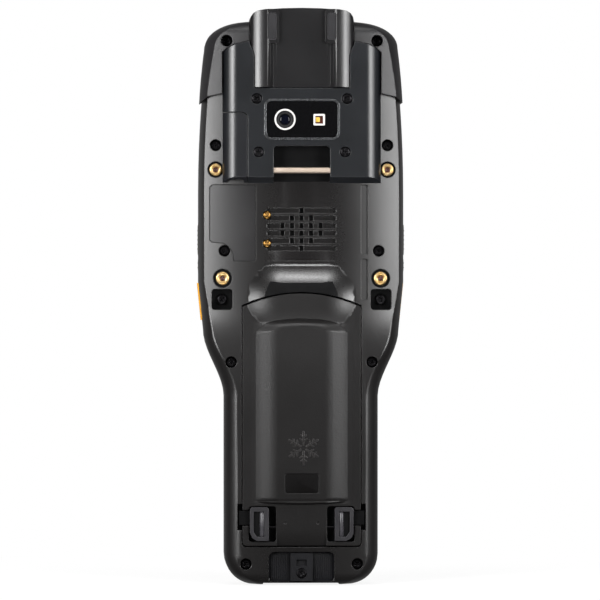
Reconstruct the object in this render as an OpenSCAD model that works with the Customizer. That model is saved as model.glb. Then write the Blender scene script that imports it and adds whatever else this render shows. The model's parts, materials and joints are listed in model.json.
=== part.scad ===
// Portable barcode data terminal with a keypad grip, camera module and scan hood.
// Upright frame in mm: +Z along the length, the back faces -Y, the keypad side faces +Y.

// Which piece to draw

/* [Housing] */
// Width across the grip
grip_w = 57.3; // [56:0.1:58]
// Width across the shoulder above the neck
shoulder_w = 72.8; // [72:0.1:73.4]
// Widest width of the head
head_w = 76.5; // [76:0.1:77]
// Width of the head where the bumper starts
crown_w = 73.8; // [73.4:0.1:74.4]
// Width of the rounded flank of the grip, seen from the back
grip_flank = 4.9; // [4.6:0.1:5]
// Width of the rounded flank of the head, seen from the back
head_flank = 1.9; // [1.7:0.1:2.4]
// Height at which the grip starts to widen
neck_z0 = 70; // [68:0.5:72]
// Height at which the neck meets the shoulder
neck_z1 = 95; // [93:0.5:97]
// Height of the widest part of the head
flare_z = 113; // [111:0.5:116]
// Height at which the head starts to narrow
taper_z = 146; // [142:0.5:150]
// Corner radius of the bottom end, seen from the back
bottom_r = 11.5; // [10.5:0.1:12]
// Depth of the flat back face behind the parting plane's zero
back_y = 10.5; // [10.3:0.1:10.6]
// Depth of the front face
front_y = 15.2; // [15:0.1:15.3]
// Depth of the parting plane between the two shells
part_y = 4.0; // [3.8:0.1:4.2]
// Wall thickness of the shells
wall = 2.2; // [2:0.1:2.4]

/* [Top bumper] */
// Height of the bumper's top edge
bumper_top = 209.9; // [209:0.1:210.2]
// Height of the bumper's lower edge at the flanks
bumper_foot = 179.4; // [179:0.1:180]
// Depth of the bumper's back face
bumper_back = 12.6; // [12.2:0.1:13]
// Depth of the bumper's front rim
bumper_front = 16.0; // [15.8:0.1:16]
// How far the bumper stands proud of the flanks
bumper_proud = 0.95; // [0.8:0.05:1]
// Depth of the crown below the bumper's flanks, each side
crown_inset = 2.7; // [2.5:0.1:3.1]
// Depth of the crown below the bumper's top
crown_drop = 3.4; // [3.1:0.1:3.9]

/* [Scanner hood] */
// Overall height of the terminal, the crown of the hood
hood_top = 214.7; // [214:0.1:215]
// Height of the hood's lower edge
hood_z0 = 185.2; // [184.5:0.1:186]
// Half width of the hood's lower part
hood_half0 = 17.5; // [17:0.1:18]
// Half width of the hood's upper part
hood_half1 = 19.4; // [19:0.1:19.7]
// Distance of each column crest from the middle
column_x = 12.9; // [12.6:0.1:13.2]
// Depth of the column crests
column_y = 16.0; // [15.6:0.1:16]
// Depth of the hood's flat centre
hood_mid_y = 13.8; // [13.4:0.1:14.2]
// Width of a hood pad
pad_w = 4.9; // [4.6:0.1:5.2]
// Width of the scan window
scan_win_w = 29.0; // [27:0.2:29.4]

/* [Camera module] */
// Half width of the module
module_half = 29.5; // [29:0.1:29.6]
// Half width of the module's flat face, where its shoulders start to round
shoulder_x = 23.8; // [23.2:0.1:24]
// Depth over which the shoulders round down
shoulder_drop = 5.3; // [5.1:0.1:5.6]
// Depth of the module's flat face
module_y = 14.6; // [14.4:0.1:14.8]
// Height of the module's lower edge at the face
module_z0 = 151.8; // [151:0.1:152.4]
// Height of the module's lower edge at its foot
module_foot_z = 149.6; // [149:0.1:150]
// Screw spacing across the module, upper pair
mscrew_upper = 33.6; // [33:0.1:34]
// Screw spacing across the module, lower pair
mscrew_lower = 32.2; // [31.6:0.1:32.6]
// Camera window width, inside its bezel
cam_win_w = 26.6; // [26:0.1:27]
// Camera window height, inside its bezel
cam_win_h = 13.7; // [13.3:0.1:14]
// Width of the strap cutout
strap_w = 21.1; // [20:0.1:22]
// Height of the strap bar
bar_h = 2.3; // [2:0.1:2.6]
// Left edge of the card door
door_x = 20.0; // [19.6:0.1:20.4]
// Top edge of the card door
door_top = 176.0; // [175:0.1:176.6]
// Gap round the card door
door_gap = 0.3; // [0.25:0.01:0.35]

/* [Screws and inserts] */
// Radius of a housing screw's counterbore
cbore_r = 2.14; // [2.1:0.01:2.2]
// Radius of a housing screw's head
head_r = 1.95; // [1.8:0.01:2]
// Radius of a housing screw's shank
shank_r = 1.2; // [1.1:0.01:1.25]
// Radius of a brass insert's tapped bore
insert_bore_r = 1.05; // [1:0.01:1.1]
// Radius of an upper brass insert
insert_up_r = 2.44; // [2.3:0.01:2.5]
// Radius of a lower brass insert
insert_low_r = 2.6; // [2.5:0.01:2.7]
// Spacing of the upper brass inserts
insert_up_span = 64.0; // [63.6:0.1:64.2]
// Spacing of the lower brass inserts
insert_low_span = 58.9; // [58.4:0.1:59.2]

/* [Battery] */
// Width of the battery pack
batt_w = 44.0; // [43.6:0.1:44.2]
// Height of the pack's upper corners
batt_top = 103.6; // [103:0.1:104]
// Rise of the arched upper edge
batt_arch = 4.9; // [4.5:0.1:5]
// Height of the pack's lower edge
batt_z0 = 14.6; // [14.4:0.1:15]
// Depth of the pack's flanges
flange_y = 10.9; // [10.8:0.05:11]
// Depth of the hump's flat top
hump_y = 13.6; // [13.4:0.1:13.8]
// Half width of the hump's flat top
hump_flat = 8.4; // [8:0.1:9]
// Half width of the hump's foot
hump_half = 19.5; // [19:0.1:19.8]
// Gap beside the pack
batt_gap = 0.35; // [0.3:0.01:0.4]
// Gap over the arched edge, for the pack's swing
arch_gap = 0.6; // [0.55:0.01:0.65]
// Travel of a latch
latch_travel = 2.3; // [2:0.1:2.4]

/* [Keys and buttons] */
// Width of a key
key_w = 13.1; // [12:0.1:13.4]
// Height of a key
key_h = 10.4; // [9.6:0.1:10.8]
// Distance between key columns
key_dx = 15.6; // [15.4:0.1:15.8]
// Distance between key rows
key_dz = 14.0; // [13.6:0.1:14.2]
// Height of the lowest key row
key_z0 = 33.0; // [32:0.5:34]
// Gap round a key
key_gap = 0.3; // [0.3:0.01:0.35]
// Travel of a key
key_travel = 0.6; // [0.4:0.1:0.6]
// Height of a side trigger's lower end
trigger_z = 122.6; // [122.2:0.1:123]
// Length of a side trigger
trigger_len = 12.0; // [11.5:0.1:12.2]
// Height of an auxiliary side button's lower end
aux_z = 116.3; // [116:0.1:116.6]
// Length of an auxiliary side button
aux_len = 5.6; // [5.2:0.1:5.8]
// Height of a side button across the flank
button_h = 6.4; // [6:0.1:6.6]
// Travel of a side button
button_travel = 0.5; // [0.3:0.1:0.6]

/* [Display] */
// Width of the touch glass
glass_w = 62.0; // [60:0.1:62.4]
// Lower edge of the touch glass
glass_z0 = 107.5; // [107:0.1:108]
// Upper edge of the touch glass
glass_z1 = 199.5; // [198:0.1:200]
// Thickness of the touch glass
glass_t = 1.4; // [1.2:0.1:1.4]

/* [Hidden] */
far = 60;
crown_half = crown_w / 2 - crown_inset;
crown_z = bumper_top - crown_drop;
fit = 0.05;
$fn = 48;
cavity_back = back_y - wall;
cavity_front = front_y - wall;
glass_y = front_y - 0.4;
glass_z = (glass_z0 + glass_z1) / 2;
floor_y = 0.85;
tub_wall = 1.8;
boss_r = 3.5;
mid_z = 140;
cam_z = 173.2;
row_z = [for (i = [0:4]) key_z0 + i * key_dz];
grille_z = [for (i = [0:5]) 125.4 + i * 2.8];
grille_x = [for (i = [-2:2]) i * 3.55];
screw_at = [[32, 163.7], [28.7, 124.4], [26.25, 83], [20.75, 7.8], [28, 202.5]];
socket_at = [29.6, 106.3];
socket_half = 3.85;

// Blends and stations

function clamp01(t) = min(1, max(0, t));
function ramp(z, a, b) = let (t = clamp01((z - a) / (b - a))) t * t * (3 - 2 * t);
function line(z, a, b) = clamp01((z - a) / (b - a));
// How far a rounded end of radius r has drawn in at height z
function drawn_in(z, r) = z >= r ? 0 : r - sqrt(max(0, r * r - (r - z) * (r - z)));

// Half width of the housing at height z
function half_at(z) = grip_w / 2
  + (shoulder_w - grip_w) / 2 * ramp(z, neck_z0, neck_z1)
  + (head_w - shoulder_w) / 2 * line(z, neck_z1, flare_z)
  - (head_w - crown_w) / 2 * pow(line(z, taper_z, 181), 2)
  - drawn_in(z, bottom_r);

// Width of the rounded flank at height z, seen from the back
function flank_at(z) = grip_flank - (grip_flank - head_flank) * ramp(z, 76, 116);

// Rounding that ends in a crease: how far in (x) and how far back (y) at step i of n
function crease_x(i, n) = (1 - cos(60 * i / n)) / 0.5;
function crease_y(i, n) = sin(60 * i / n) / sin(60);

house_z = [
  0, 0.25, 0.7, 1.3, 2.1, 3.1, 4.3, 5.7, 7.2, 9, 11.5, 30, 50, 68, 70.5, 73, 75.5, 78, 80.5, 83, 85.5,
  88, 90.5, 93, 95, 101, 107, 113, 130, 146, 155, 163, 170, 176, 181, 186
];

// Section of the back shell, from the parting plane round the back
function back_ring(z) = let (
    w = half_at(z),
    a = min(flank_at(z), w * 0.6),
    b = 6 + 1.2 * ramp(z, 95, 113),
    yb = -back_y + drawn_in(z, 4.1),
    n = 8
  ) concat(
    [[-w, part_y, z]],
    [for (i = [0:n]) [-w + a * crease_x(i, n), yb + b - b * crease_y(i, n), z]],
    [for (i = [n:-1:0]) [w - a * crease_x(i, n), yb + b - b * crease_y(i, n), z]],
    [[w, part_y, z]]
  );

// Section of the front shell, from the parting plane round the front
function front_ring(z) = let (
    w = half_at(z),
    a = min(3.2, w * 0.6),
    b = 5,
    yf = front_y - drawn_in(z, 3.4),
    steps = 6
  ) concat(
    [[w, part_y, z]],
    [for (i = [0:steps]) let (t = 90 * i / steps) [w - a + a * cos(t), yf - b + b * sin(t), z]],
    [for (i = [steps:-1:0]) let (t = 90 * i / steps) [-w + a - a * cos(t), yf - b + b * sin(t), z]],
    [[-w, part_y, z]]
  );

// Half width of the bumper at height z
function bumper_half(z) = let (
    base = crown_w / 2 + bumper_proud,
    bend = bumper_foot + 0.675 * (bumper_top - bumper_foot),
    rise = min(z, bend) - bumper_foot,
    t = line(z, bend, bumper_top)
  ) base - 0.048 * rise - 0.0021 * pow(rise, 2) - 17 * (1 - sqrt(max(0, 1 - pow(t, 2.1))));

bumper_z = [for (t = [
    0, 0.15, 0.31, 0.48, 0.58, 0.675, 0.715, 0.755, 0.795, 0.83, 0.865, 0.895, 0.92, 0.942, 0.96,
    0.975, 0.988, 0.996, 1
  ]) bumper_foot + t * (bumper_top - bumper_foot)];

function bumper_ring(z) = let (
    w = bumper_half(z),
    up = bumper_top - z,
    yb = -bumper_back + drawn_in(up, 5),
    yf = bumper_front - drawn_in(up, 4),
    a = 2.5 + 0.06 * max(0, z - bumper_foot - 3.4),
    steps = 6
  ) concat(
    [for (i = [0:steps]) [-w + a * crease_x(i, steps), yb + 6 - 6 * crease_y(i, steps), z]],
    [for (i = [steps:-1:0]) [w - a * crease_x(i, steps), yb + 6 - 6 * crease_y(i, steps), z]],
    [for (i = [0:steps]) let (t = 90 * i / steps) [w - 3 + 3 * cos(t), yf - 4 + 4 * sin(t), z]],
    [for (i = [steps:-1:0]) let (t = 90 * i / steps) [-w + 3 - 3 * cos(t), yf - 4 + 4 * sin(t), z]]
  );

// Closed solid through a stack of rings with equal point counts
module skin(rings) {
  n = len(rings[0]);
  m = len(rings);
  polyhedron(
    points = [for (r = rings) each r],
    faces = concat(
      [for (j = [1:n - 2]) [0, j, j + 1]],
      [for (j = [1:n - 2]) [(m - 1) * n, (m - 1) * n + j + 1, (m - 1) * n + j]],
      [for (i = [0:m - 2]) for (j = [0:n - 1]) let (k = (j + 1) % n)
        each [[i * n + j, (i + 1) * n + j, (i + 1) * n + k], [i * n + j, (i + 1) * n + k, i * n + k]]]
    )
  );
}

// Flat outlines, drawn across (x, z) and given depth along Y

module slab(y0, y1) {
  translate([0, y1, 0]) rotate([90, 0, 0]) linear_extrude(y1 - y0) children();
}

// Outlines drawn across (y, z) and given width along X
module across(x0, x1) {
  translate([x0, 0, 0]) rotate([90, 0, 90]) linear_extrude(x1 - x0) children();
}

function rounded(w, h, r, n = 5) = [
  for (c = [[1, 1, 0], [-1, 1, 90], [-1, -1, 180], [1, -1, 270]]) for (i = [0:n])
    let (t = c[2] + 90 * i / n) [c[0] * (w / 2 - r) + r * cos(t), c[1] * (h / 2 - r) + r * sin(t)]
];

module plate(x, z, w, h, r, y0, y1) {
  translate([x, 0, z]) slab(y0, y1) polygon(rounded(w, h, r));
}

module block(x0, x1, y0, y1, z0, z1) {
  translate([x0, y0, z0]) cube([x1 - x0, y1 - y0, z1 - z0]);
}

module pin(x, z, r, y0, y1) {
  translate([x, y0, z]) rotate([-90, 0, 0]) cylinder(r = r, h = y1 - y0);
}

module both() {
  children();
  mirror([1, 0, 0]) children();
}

// Shared outlines

module inner_outline() {
  zs = [3, 4, 6, 9, 12, 30, 50, 68, 72, 76, 80, 84, 88, 92, 96, 101, 107, 113, 130, 146, 160, 172, 178];
  right = [for (z = zs) [half_at(z) - wall, z]];
  left = [for (i = [len(zs) - 1:-1:0]) [-half_at(zs[i]) + wall, zs[i]]];
  top = [[32, 179], [32, 198], [29, 203.5], [-29, 203.5], [-32, 198], [-32, 179]];
  polygon(concat(right, top, left));
}

module crown_outline(grow = 0) {
  translate([0, (bumper_foot - 1.4 + crown_z) / 2])
    polygon(rounded(2 * (crown_half + grow), crown_z - bumper_foot + 1.4 + 2 * grow, 7 + grow));
}

// Everything above the bumper's lower edge
module above_edge(shift = 0) {
  w = crown_w / 2;
  z = bumper_foot + shift;
  polygon([
    [-far, z], [-w - 0.7, z + 0.2], [-w + 1.9, z + 2.2], [-w + 7.3, z + 3.4],
    [w - 7.3, z + 3.4], [w - 1.9, z + 2.2], [w + 0.7, z + 0.2], [far, z],
    [far, 230], [-far, 230]
  ]);
}

// The field of module and hood, inside the bumper's seam
module module_field(inset = 0) {
  x = 29.7 - inset;
  polygon([
    [-x, 120], [-x, 198.2 - inset], [-27.6 + inset, 200.1 - inset], [-24.9, 201.3 - inset],
    [-19, 202.6 - inset], [19, 202.6 - inset], [24.9, 201.3 - inset], [27.6 - inset, 200.1 - inset],
    [x, 198.2 - inset], [x, 120]
  ]);
}

function hood_edge(g) = [
  [hood_half0 + g, hood_z0 - g], [hood_half0 + g, 196.6], [hood_half0 + g + 0.5, 199],
  [hood_half1 + g - 0.2, 201.2], [hood_half1 + g, 203], [hood_half1 + g, 209.6], [19 + g, 211.4],
  [18.1 + g, 212.7], [16.6, 213.6 + g], [13.7, 214.1 + g], [7, 214.55 + g], [0, hood_top + g]
];

module hood_outline(g = 0) {
  e = hood_edge(g);
  polygon(concat(e, [for (i = [len(e) - 1:-1:0]) [-e[i][0], e[i][1]]]));
}

// Upper edge of the battery pack as an arc
function arch(w, z, rise, n = 12) = [
  for (i = [0:n]) let (t = 1 - 2 * i / n) [w / 2 * t, z + rise * (1 - t * t)]
];

module batt_outline(g = 0, ga = 0, gb = 0) {
  w = batt_w + 2 * g;
  polygon(concat(
    arch(w, batt_top + ga, batt_arch),
    [[-w / 2, batt_z0 + 1.2], [-w / 2 + 0.35, batt_z0 + 0.35 - gb], [-w / 2 + 1.2, batt_z0 - gb]],
    [[w / 2 - 1.2, batt_z0 - gb], [w / 2 - 0.35, batt_z0 + 0.35 - gb], [w / 2, batt_z0 + 1.2]]
  ));
}

// The thumb dish that the back shell and the battery pack share
module thumb_dish() {
  r = 26;
  translate([0, -back_y - r + 3.1, 108]) {
    translate([-8, 0, 0]) rotate([0, 90, 0]) cylinder(r = r, h = 16, $fn = 120);
    for (s = [-1, 1]) translate([8 * s, 0, 0]) sphere(r = r, $fn = 120);
  }
}

// Cross section of the camera module, extruded up the length
module module_section(shrink = 0) {
  a = module_half + 0.2 - shoulder_x - shrink;
  b = shoulder_drop - shrink;
  y0 = module_y - shoulder_drop;
  t0 = asin((back_y - y0) / b);
  half = [for (i = [0:9]) let (t = t0 + (90 - t0) * i / 9) [shoulder_x + a * cos(t), -y0 - b * sin(t)]];
  polygon(concat(
    half,
    [for (i = [len(half) - 1:-1:0]) [-half[i][0], half[i][1]]]
  ));
}

module module_foot_cut() {
  across(-far, far) polygon([
    [-20, 130], [-20, module_z0 + 2.6], [-module_y, module_z0], [-back_y, module_foot_z], [-9, 130]
  ]);
}

// Outline of the card door in the left wing
module door_outline(g = 0) {
  x = -door_x + g;
  polygon([
    [-far, 130], [-far, door_top + g], [x - 2, door_top + g], [x - 0.6, door_top - 0.6 + g],
    [x, door_top - 2 + g], [x, 130]
  ]);
}

// Back shell

module rear_housing() {
  color("dimgray") difference() {
    union() {
      difference() {
        skin([for (z = house_z) back_ring(z)]);
        slab(-far, far) above_edge();
        slab(-cavity_back, part_y + 1) inner_outline();
      }
      difference() {
        slab(-back_y, part_y) crown_outline();
        slab(-cavity_back, part_y + 1) inner_outline();
      }
      difference() {
        slab(-back_y + 0.6, floor_y + 1.5) batt_outline(batt_gap + tub_wall, arch_gap + tub_wall, 2.2);
        block(-far, far, -back_y - 1, far, -10, 4);
      }
      block(-16, 16, -cavity_back - 0.5, -6.9, 118, 149.6);
      block(-21, 21, -cavity_back - 0.5, -5.2, 104, 119);
      block(-14, 14, -cavity_back - 0.5, -5.9, 0.8, 13.2);
      block(-12.6, 12.6, -cavity_back - 0.5, -5.6, 149.6, 166);
      both() {
        for (p = screw_at) pin(p[0], p[1], boss_r, -cavity_back - 0.5, part_y);
        pin(insert_up_span / 2, 154.6, 4.2, -cavity_back - 0.5, -1.5);
        pin(insert_low_span / 2, 114.15, 4.3, -cavity_back - 0.5, -1.5);
        block(socket_at[0] - 5.4, socket_at[0] + 5.4, -cavity_back - 0.5, part_y, 101, 111.6);
        for (z = [118, 192]) pin(21.5, z, 2.2, -cavity_back - 0.5, 6.6);
        for (z = [40, 94]) pin(19, z, 2, floor_y + 1, 9.4);
      }
      block(-6, -2, -cavity_back - 0.5, -6, 166, 181);
    }
    // battery bay with the latch notches, open to the back
    slab(-far, floor_y) batt_outline(batt_gap, arch_gap, 0.5);
    both() block(20, 23.9, -far, -7.5, 20.4, 30.2);
    block(-7.2, 7.2, 0, 4, 84, 92);
    thumb_dish();
    // dished strap channel and strap cutout floor
    translate([0, -back_y - 59.2, 119]) rotate([1.6, 0, 0]) cylinder(r = 60.6, h = 32, $fn = 160);
    block(-strap_w / 2, strap_w / 2, -far, -7.8, module_foot_z + 0.6, 163.4);
    // speaker grille
    for (z = grille_z) plate(0, z, 25.8, 1.95, 0.6, -far, -8.9);
    for (i = [0:5]) for (j = [-2:2])
      if (abs(j) <= (i < 3 ? i : 5 - i))
        block(j * 3.55 - 0.75, j * 3.55 + 0.75, -far, -6, grille_z[i] - 0.97, grille_z[i] + 0.97);
    for (z = [127.1, 137.7]) pin(-12.9, z, 1.65, -far, -6);
    // label recess with its notch round the screw hole
    slab(-far, -back_y + 0.6) label_outline();
    // groove on the other side, with its rib
    plate(23.45, 136.0, 2.6, 25.8, 0.8, -far, -back_y + 0.9);
    plate(23.45, 113.8, 2.6, 15.2, 0.8, -far, -back_y + 0.9);
    both() {
      for (p = screw_at) {
        pin(p[0], p[1], cbore_r, -far, -7);
        pin(p[0], p[1], shank_r + fit, -8, part_y + 1);
      }
      pin(insert_up_span / 2, 154.6, 3, -far, -back_y + 1.1);
      pin(insert_up_span / 2, 154.6, insert_up_r, -far, -3.4);
      pin(insert_low_span / 2, 114.15, 3.5, -far, -back_y + 1.1);
      pin(insert_low_span / 2, 114.15, insert_low_r, -far, -3.4);
      plate(socket_at[0], socket_at[1], 2 * socket_half, 2 * socket_half, 1.1, -far, -5.5);
      pin(socket_at[0], socket_at[1], shank_r + fit, -6, part_y + 1);
      // side button openings
      for (b = [[trigger_z, trigger_len], [aux_z, aux_len]]) let (h = button_h / 2 + key_gap)
        block(half_at(b[0]) - 5, far, -h, h, b[0] - key_gap, b[0] + b[1] + key_gap);
    }
    // scan engine bay, camera bay and card socket bay
    block(-13.4, 13.4, -cavity_back, part_y + 1, 186.6, 212);
    block(-11.2, -1.3, -far, -5, 168.0, 178.4);
    block(4.2, 8.6, -far, -7, 170.9, 175.3);
    // bottom recess and dock slot
    plate(0, 6.6, 24.6, 11.4, 2.2, -far, -8.2);
    block(-12.3, 12.3, -far, -9.4, -1, 3.4);
    plate(0, 0, 29.6, 1.6, 0.7, -far, -4);
    block(-14.2, 14.2, -5.2, part_y + 1, -1, 8.2);
  }
}

module label_outline(g = 0) {
  polygon([
    [-33.3 + g, 149 - g], [-34.3 + g, 148 - g], [-34.3 + g, 128.4 + g], [-33.3 + g, 127.4 + g],
    [-30.6, 127.4 + g], [-28.6 + g, 126.9 + g], [-26.6 + g, 125.3 + g], [-25.7 + g, 123.2 + g],
    [-25.5 + g, 121 + g], [-25 + g, 120.5 + g], [-17.6 - g, 120.5 + g], [-17.1 - g, 121 + g],
    [-17.1 - g, 148.4 - g], [-17.7 - g, 149 - g]
  ]);
}

module label_plate() {
  color("darkgray") slab(-back_y + 0.25, -back_y + 0.6) label_outline(0.2);
}

// Front shell

module front_housing() {
  color("slategray") difference() {
    union() {
      difference() {
        skin([for (z = house_z) front_ring(z)]);
        slab(-far, far) above_edge();
        slab(part_y - 1, cavity_front) inner_outline();
      }
      difference() {
        slab(part_y, front_y - 0.3) crown_outline();
        slab(part_y - 1, cavity_front) inner_outline();
      }
      both() for (p = concat(screw_at, [socket_at])) pin(p[0], p[1], 3, part_y, cavity_front + 0.5);
    }
    both() for (p = concat(screw_at, [socket_at])) pin(p[0], p[1], shank_r + fit, part_y - 1, 11.2);
    // touch glass seat with its ledge, and the display panel behind it
    plate(0, glass_z, glass_w + 0.2, glass_z1 - glass_z0 + 0.2, 3, glass_y - glass_t, far);
    block(-27.1, 27.1, 11.2, front_y - 1, 111.4, 197.1);
    // receiver slot
    plate(0, 202.3, 12, 1.2, 0.5, part_y, far);
    for (c = [-1:1]) for (z = row_z)
      plate(c * key_dx, z, key_w + 2 * key_gap, key_h + 2 * key_gap, 2.6, 9, far);
    // grooves for the flank trims
    both() slab(4.6, 11.4) polygon(trim_points(0.02));
    block(-14.2, 14.2, part_y - 1, 4.4, -1, 8.2);
    pin(0, 20, 0.6, 9, far);
  }
}

// Outline of a flank trim, let into the flank and standing proud of it
function trim_points(g) = let (zs = [98.6, 102, 105.5, 109, 112.5]) concat(
  [for (z = zs) [half_at(z) + 0.5 + g, z == 98.6 ? z - g : z == 112.5 ? z + g : z]],
  [for (i = [4:-1:0]) [half_at(zs[i]) - 1.1 - g, i == 0 ? 98.6 - g : i == 4 ? 112.5 + g : zs[i]]]
);

module accent_trims() {
  color("gold") both() slab(4.62, 11.38) polygon(trim_points(0));
}

// Bumper

module top_bumper() {
  color("gray") difference() {
    skin([for (z = bumper_z) bumper_ring(z)]);
    slab(-far, far) difference() {
      translate([-50, 150]) square([100, 60]);
      above_edge(0.1);
    }
    slab(-back_y - 0.02, front_y - 0.28) crown_outline(0.02);
    slab(-far, 0) module_field();
    slab(-far, 8.02) hood_outline(0.05);
    // opening round the display
    plate(0, 160, 65.4, 87, 4, 0, far);
    both() {
      pin(28, 202.5, cbore_r, -far, 0);
    }
  }
}

// Scanner hood

module hood_section() {
  half = concat(
    [[hood_half1 + 0.2, -back_y], [hood_half1 + 0.2, -12.4]],
    [for (i = [0:9]) let (t = 10 * i)
      [column_x + (hood_half1 + 0.2 - column_x) * cos(t), -12.4 - (column_y - 12.4) * sin(t)]],
    [[column_x - 0.7, -column_y + 0.15], [column_x - 1.3, -column_y + 0.55]],
    [[column_x - 1.8, -column_y + 1.1], [column_x - 2.3, -hood_mid_y - 0.5]],
    [[column_x - 2.9, -hood_mid_y - 0.12], [column_x - 3.7, -hood_mid_y]]
  );
  polygon(concat(half, [for (i = [len(half) - 1:-1:0]) [-half[i][0], half[i][1]]]));
}

module scanner_hood() {
  color("darkslategray") difference() {
    union() {
      intersection() {
        slab(-column_y - 1, 0) hood_outline();
        translate([0, 0, 180]) linear_extrude(40) hood_section();
      }
      intersection() {
        slab(-back_y - 0.1, 8) hood_outline();
        block(-far, far, -far, far, crown_z, 220);
      }
      both() plate(11.1, 207.8, pad_w, 12.8, 1.2, -15.8, -hood_mid_y + 1);
    }
    // recesses for the pads
    both() plate(11.1, 207.8, pad_w - 1.6, 10.1, 0.8, -far, -15.1);
    // light path and window seat
    block(-13.4, 13.4, -7.9, 5, 180, 220);
    plate_top(0, -1.4, scan_win_w + 0.2, 14.2, 1.2, hood_top - 3.7, 220);
    // the seat of the housing's crown
    block(-far, far, -back_y, far, 180, crown_z);
  }
}

module plate_top(x, y, w, d, r, z0, z1) {
  translate([x, y, z0]) linear_extrude(z1 - z0) polygon(rounded(w, d, r));
}

module hood_pads() {
  color("gray") both() plate(11.1, 207.8, pad_w - 1.7, 10, 0.75, -15.55, -15.1);
}

module scanner_window() {
  color("darkred") plate_top(0, -1.4, scan_win_w, 14, 1.1, hood_top - 3.7, hood_top - 2.1);
}

module scan_engine() {
  color("darkolivegreen") difference() {
    block(-13, 13, -cavity_back, 3.4, hood_z0 + 2, crown_z - 1);
    block(-10.5, 10.5, -5.6, 1.4, crown_z - 7.5, crown_z - 0.5);
  }
}

// Camera module

module module_cover() {
  color("slategray") difference() {
    intersection() {
      translate([0, 0, 149]) linear_extrude(56) module_section();
      slab(-far, far) module_field(0.2);
    }
    module_foot_cut();
    slab(-far, far) hood_outline(0.3);
    // hollow behind the face
    difference() {
      translate([0, 0, 166.5]) linear_extrude(32) module_section(1.7);
      slab(-far, far) hood_outline(2);
      both() {
        pin(mscrew_upper / 2, 180.9, 3.4, -far, 0);
        block(15, 22, -far, 0, 150, 166);
      }
    }
    slab(-far, far) door_outline(0);
    // camera window seat
    plate(0, cam_z, cam_win_w + 1.5, cam_win_h + 1.5, 2.6, -far, -13.1);
    block(-11.2, 11.2, -far, far, cam_z - 4.8, cam_z + 5);
    // strap cutout, open at the bottom, with blind holes for the bar
    translate([0, 0, 0]) slab(-far, far) polygon([
      [-strap_w / 2, 140], [-strap_w / 2, 162.4], [-strap_w / 2 + 1.1, 163.5],
      [strap_w / 2 - 1.1, 163.5], [strap_w / 2, 162.4], [strap_w / 2, 140]
    ]);
    bar_shape(fit);
    // screw seats
    both() {
      for (p = [[mscrew_upper / 2, 180.9], [mscrew_lower / 2, 161.1]]) {
        pin(p[0], p[1], 2.05, -far, -13.4);
        pin(p[0], p[1], 1.05, -far, far);
      }
    }
    // relief over the upper inserts
    both() pin(insert_up_span / 2, 154.6, 3, -far, -11);
  }
}

module bar_shape(g = 0) {
  block(-strap_w / 2 - 1.6, strap_w / 2 + 1.6, -14.1 - g, -12.1 + g, 153.15 - g, 153.15 + bar_h + g);
}

module strap_bar() {
  color("wheat") bar_shape();
}

module module_screws() {
  color("black") both() for (p = [[mscrew_upper / 2, 180.9], [mscrew_lower / 2, 161.1]]) difference() {
    union() {
      pin(p[0], p[1], 1.98, -14.3, -13.4);
      pin(p[0], p[1], 1, -13.5, -back_y);
    }
    cross_slot(p[0], p[1], -14.3, 2.3);
  }
}

module cross_slot(x, z, y, w) {
  for (a = [45, 135]) translate([x, y, z]) rotate([0, a, 0]) block(-w / 2, w / 2, -1, 0.55, -0.28, 0.28);
}

module window_bezel() {
  color("silver") difference() {
    plate(0, cam_z, cam_win_w + 1.4, cam_win_h + 1.4, 2.55, -14.85, -13.1);
    plate(0, cam_z, cam_win_w, cam_win_h, 2, -far, far);
  }
}

module camera_window() {
  color("black") difference() {
    plate(0, cam_z, cam_win_w - 0.1, cam_win_h - 0.1, 1.95, -14.5, -13.1);
    pin(-6.3, cam_z, 3.95, -far, far);
    plate(6.4, cam_z - 0.1, 4.3, 4.3, 0.4, -far, far);
  }
}

module lens_ring() {
  color("white") difference() {
    pin(-6.3, cam_z, 3.93, -14.6, -13.1);
    pin(-6.3, cam_z, 3.3, -far, far);
  }
}

module camera_unit() {
  color("midnightblue") difference() {
    union() {
      block(-10.6, -2, -12.6, -5, 168.4, 178);
      pin(-6.3, cam_z, 3.25, -13.9, -12.6);
    }
    pin(-6.3, cam_z, 2.25, -far, -12.9);
  }
}

module flash_frame() {
  color("white") difference() {
    plate(6.4, cam_z - 0.1, 4.26, 4.26, 0.38, -14.6, -13.1);
    plate(6.4, cam_z - 0.1, 2.9, 2.9, 0.2, -far, far);
  }
}

module flash_lamp() {
  color("yellow") union() {
    plate(6.4, cam_z - 0.1, 2.84, 2.84, 0.15, -13.6, -7);
    plate(6, cam_z - 0.1, 1.5, 1.5, 0.1, -13.9, -13.5);
  }
}

// Sliding door over the card bay

module card_door() {
  color("darkgray") difference() {
    intersection() {
      translate([0, 0, 149]) linear_extrude(30) module_section();
      slab(-far, -back_y - door_gap) door_outline(-door_gap);
    }
    module_foot_cut();
    difference() {
      translate([0, 0, 140]) linear_extrude(34.2) module_section(1.5);
      block(-22.4, far, -far, far, 130, 180);
    }
    block(-27.9, -21.6, -12.6, 0, 130, 180);
  }
}

module card_socket() {
  color("silver") difference() {
    block(-27.6, -23.4, -12.3, -back_y, 152.4, 171);
    block(-27, -24, -12.0, -11.0, 150, 170);
  }
}

// Fasteners, inserts and contacts

module housing_screw(x, z, y) {
  difference() {
    union() {
      pin(x, z, head_r, y - 1.6, y);
      pin(x, z, shank_r, y - 0.1, y + 15.5);
    }
    cross_slot(x, z, y - 1.6, 2.2);
  }
}

module housing_screws() {
  color("black") both() {
    for (p = screw_at) housing_screw(p[0], p[1], -7);
    housing_screw(socket_at[0], socket_at[1], -5.5);
  }
}

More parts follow.
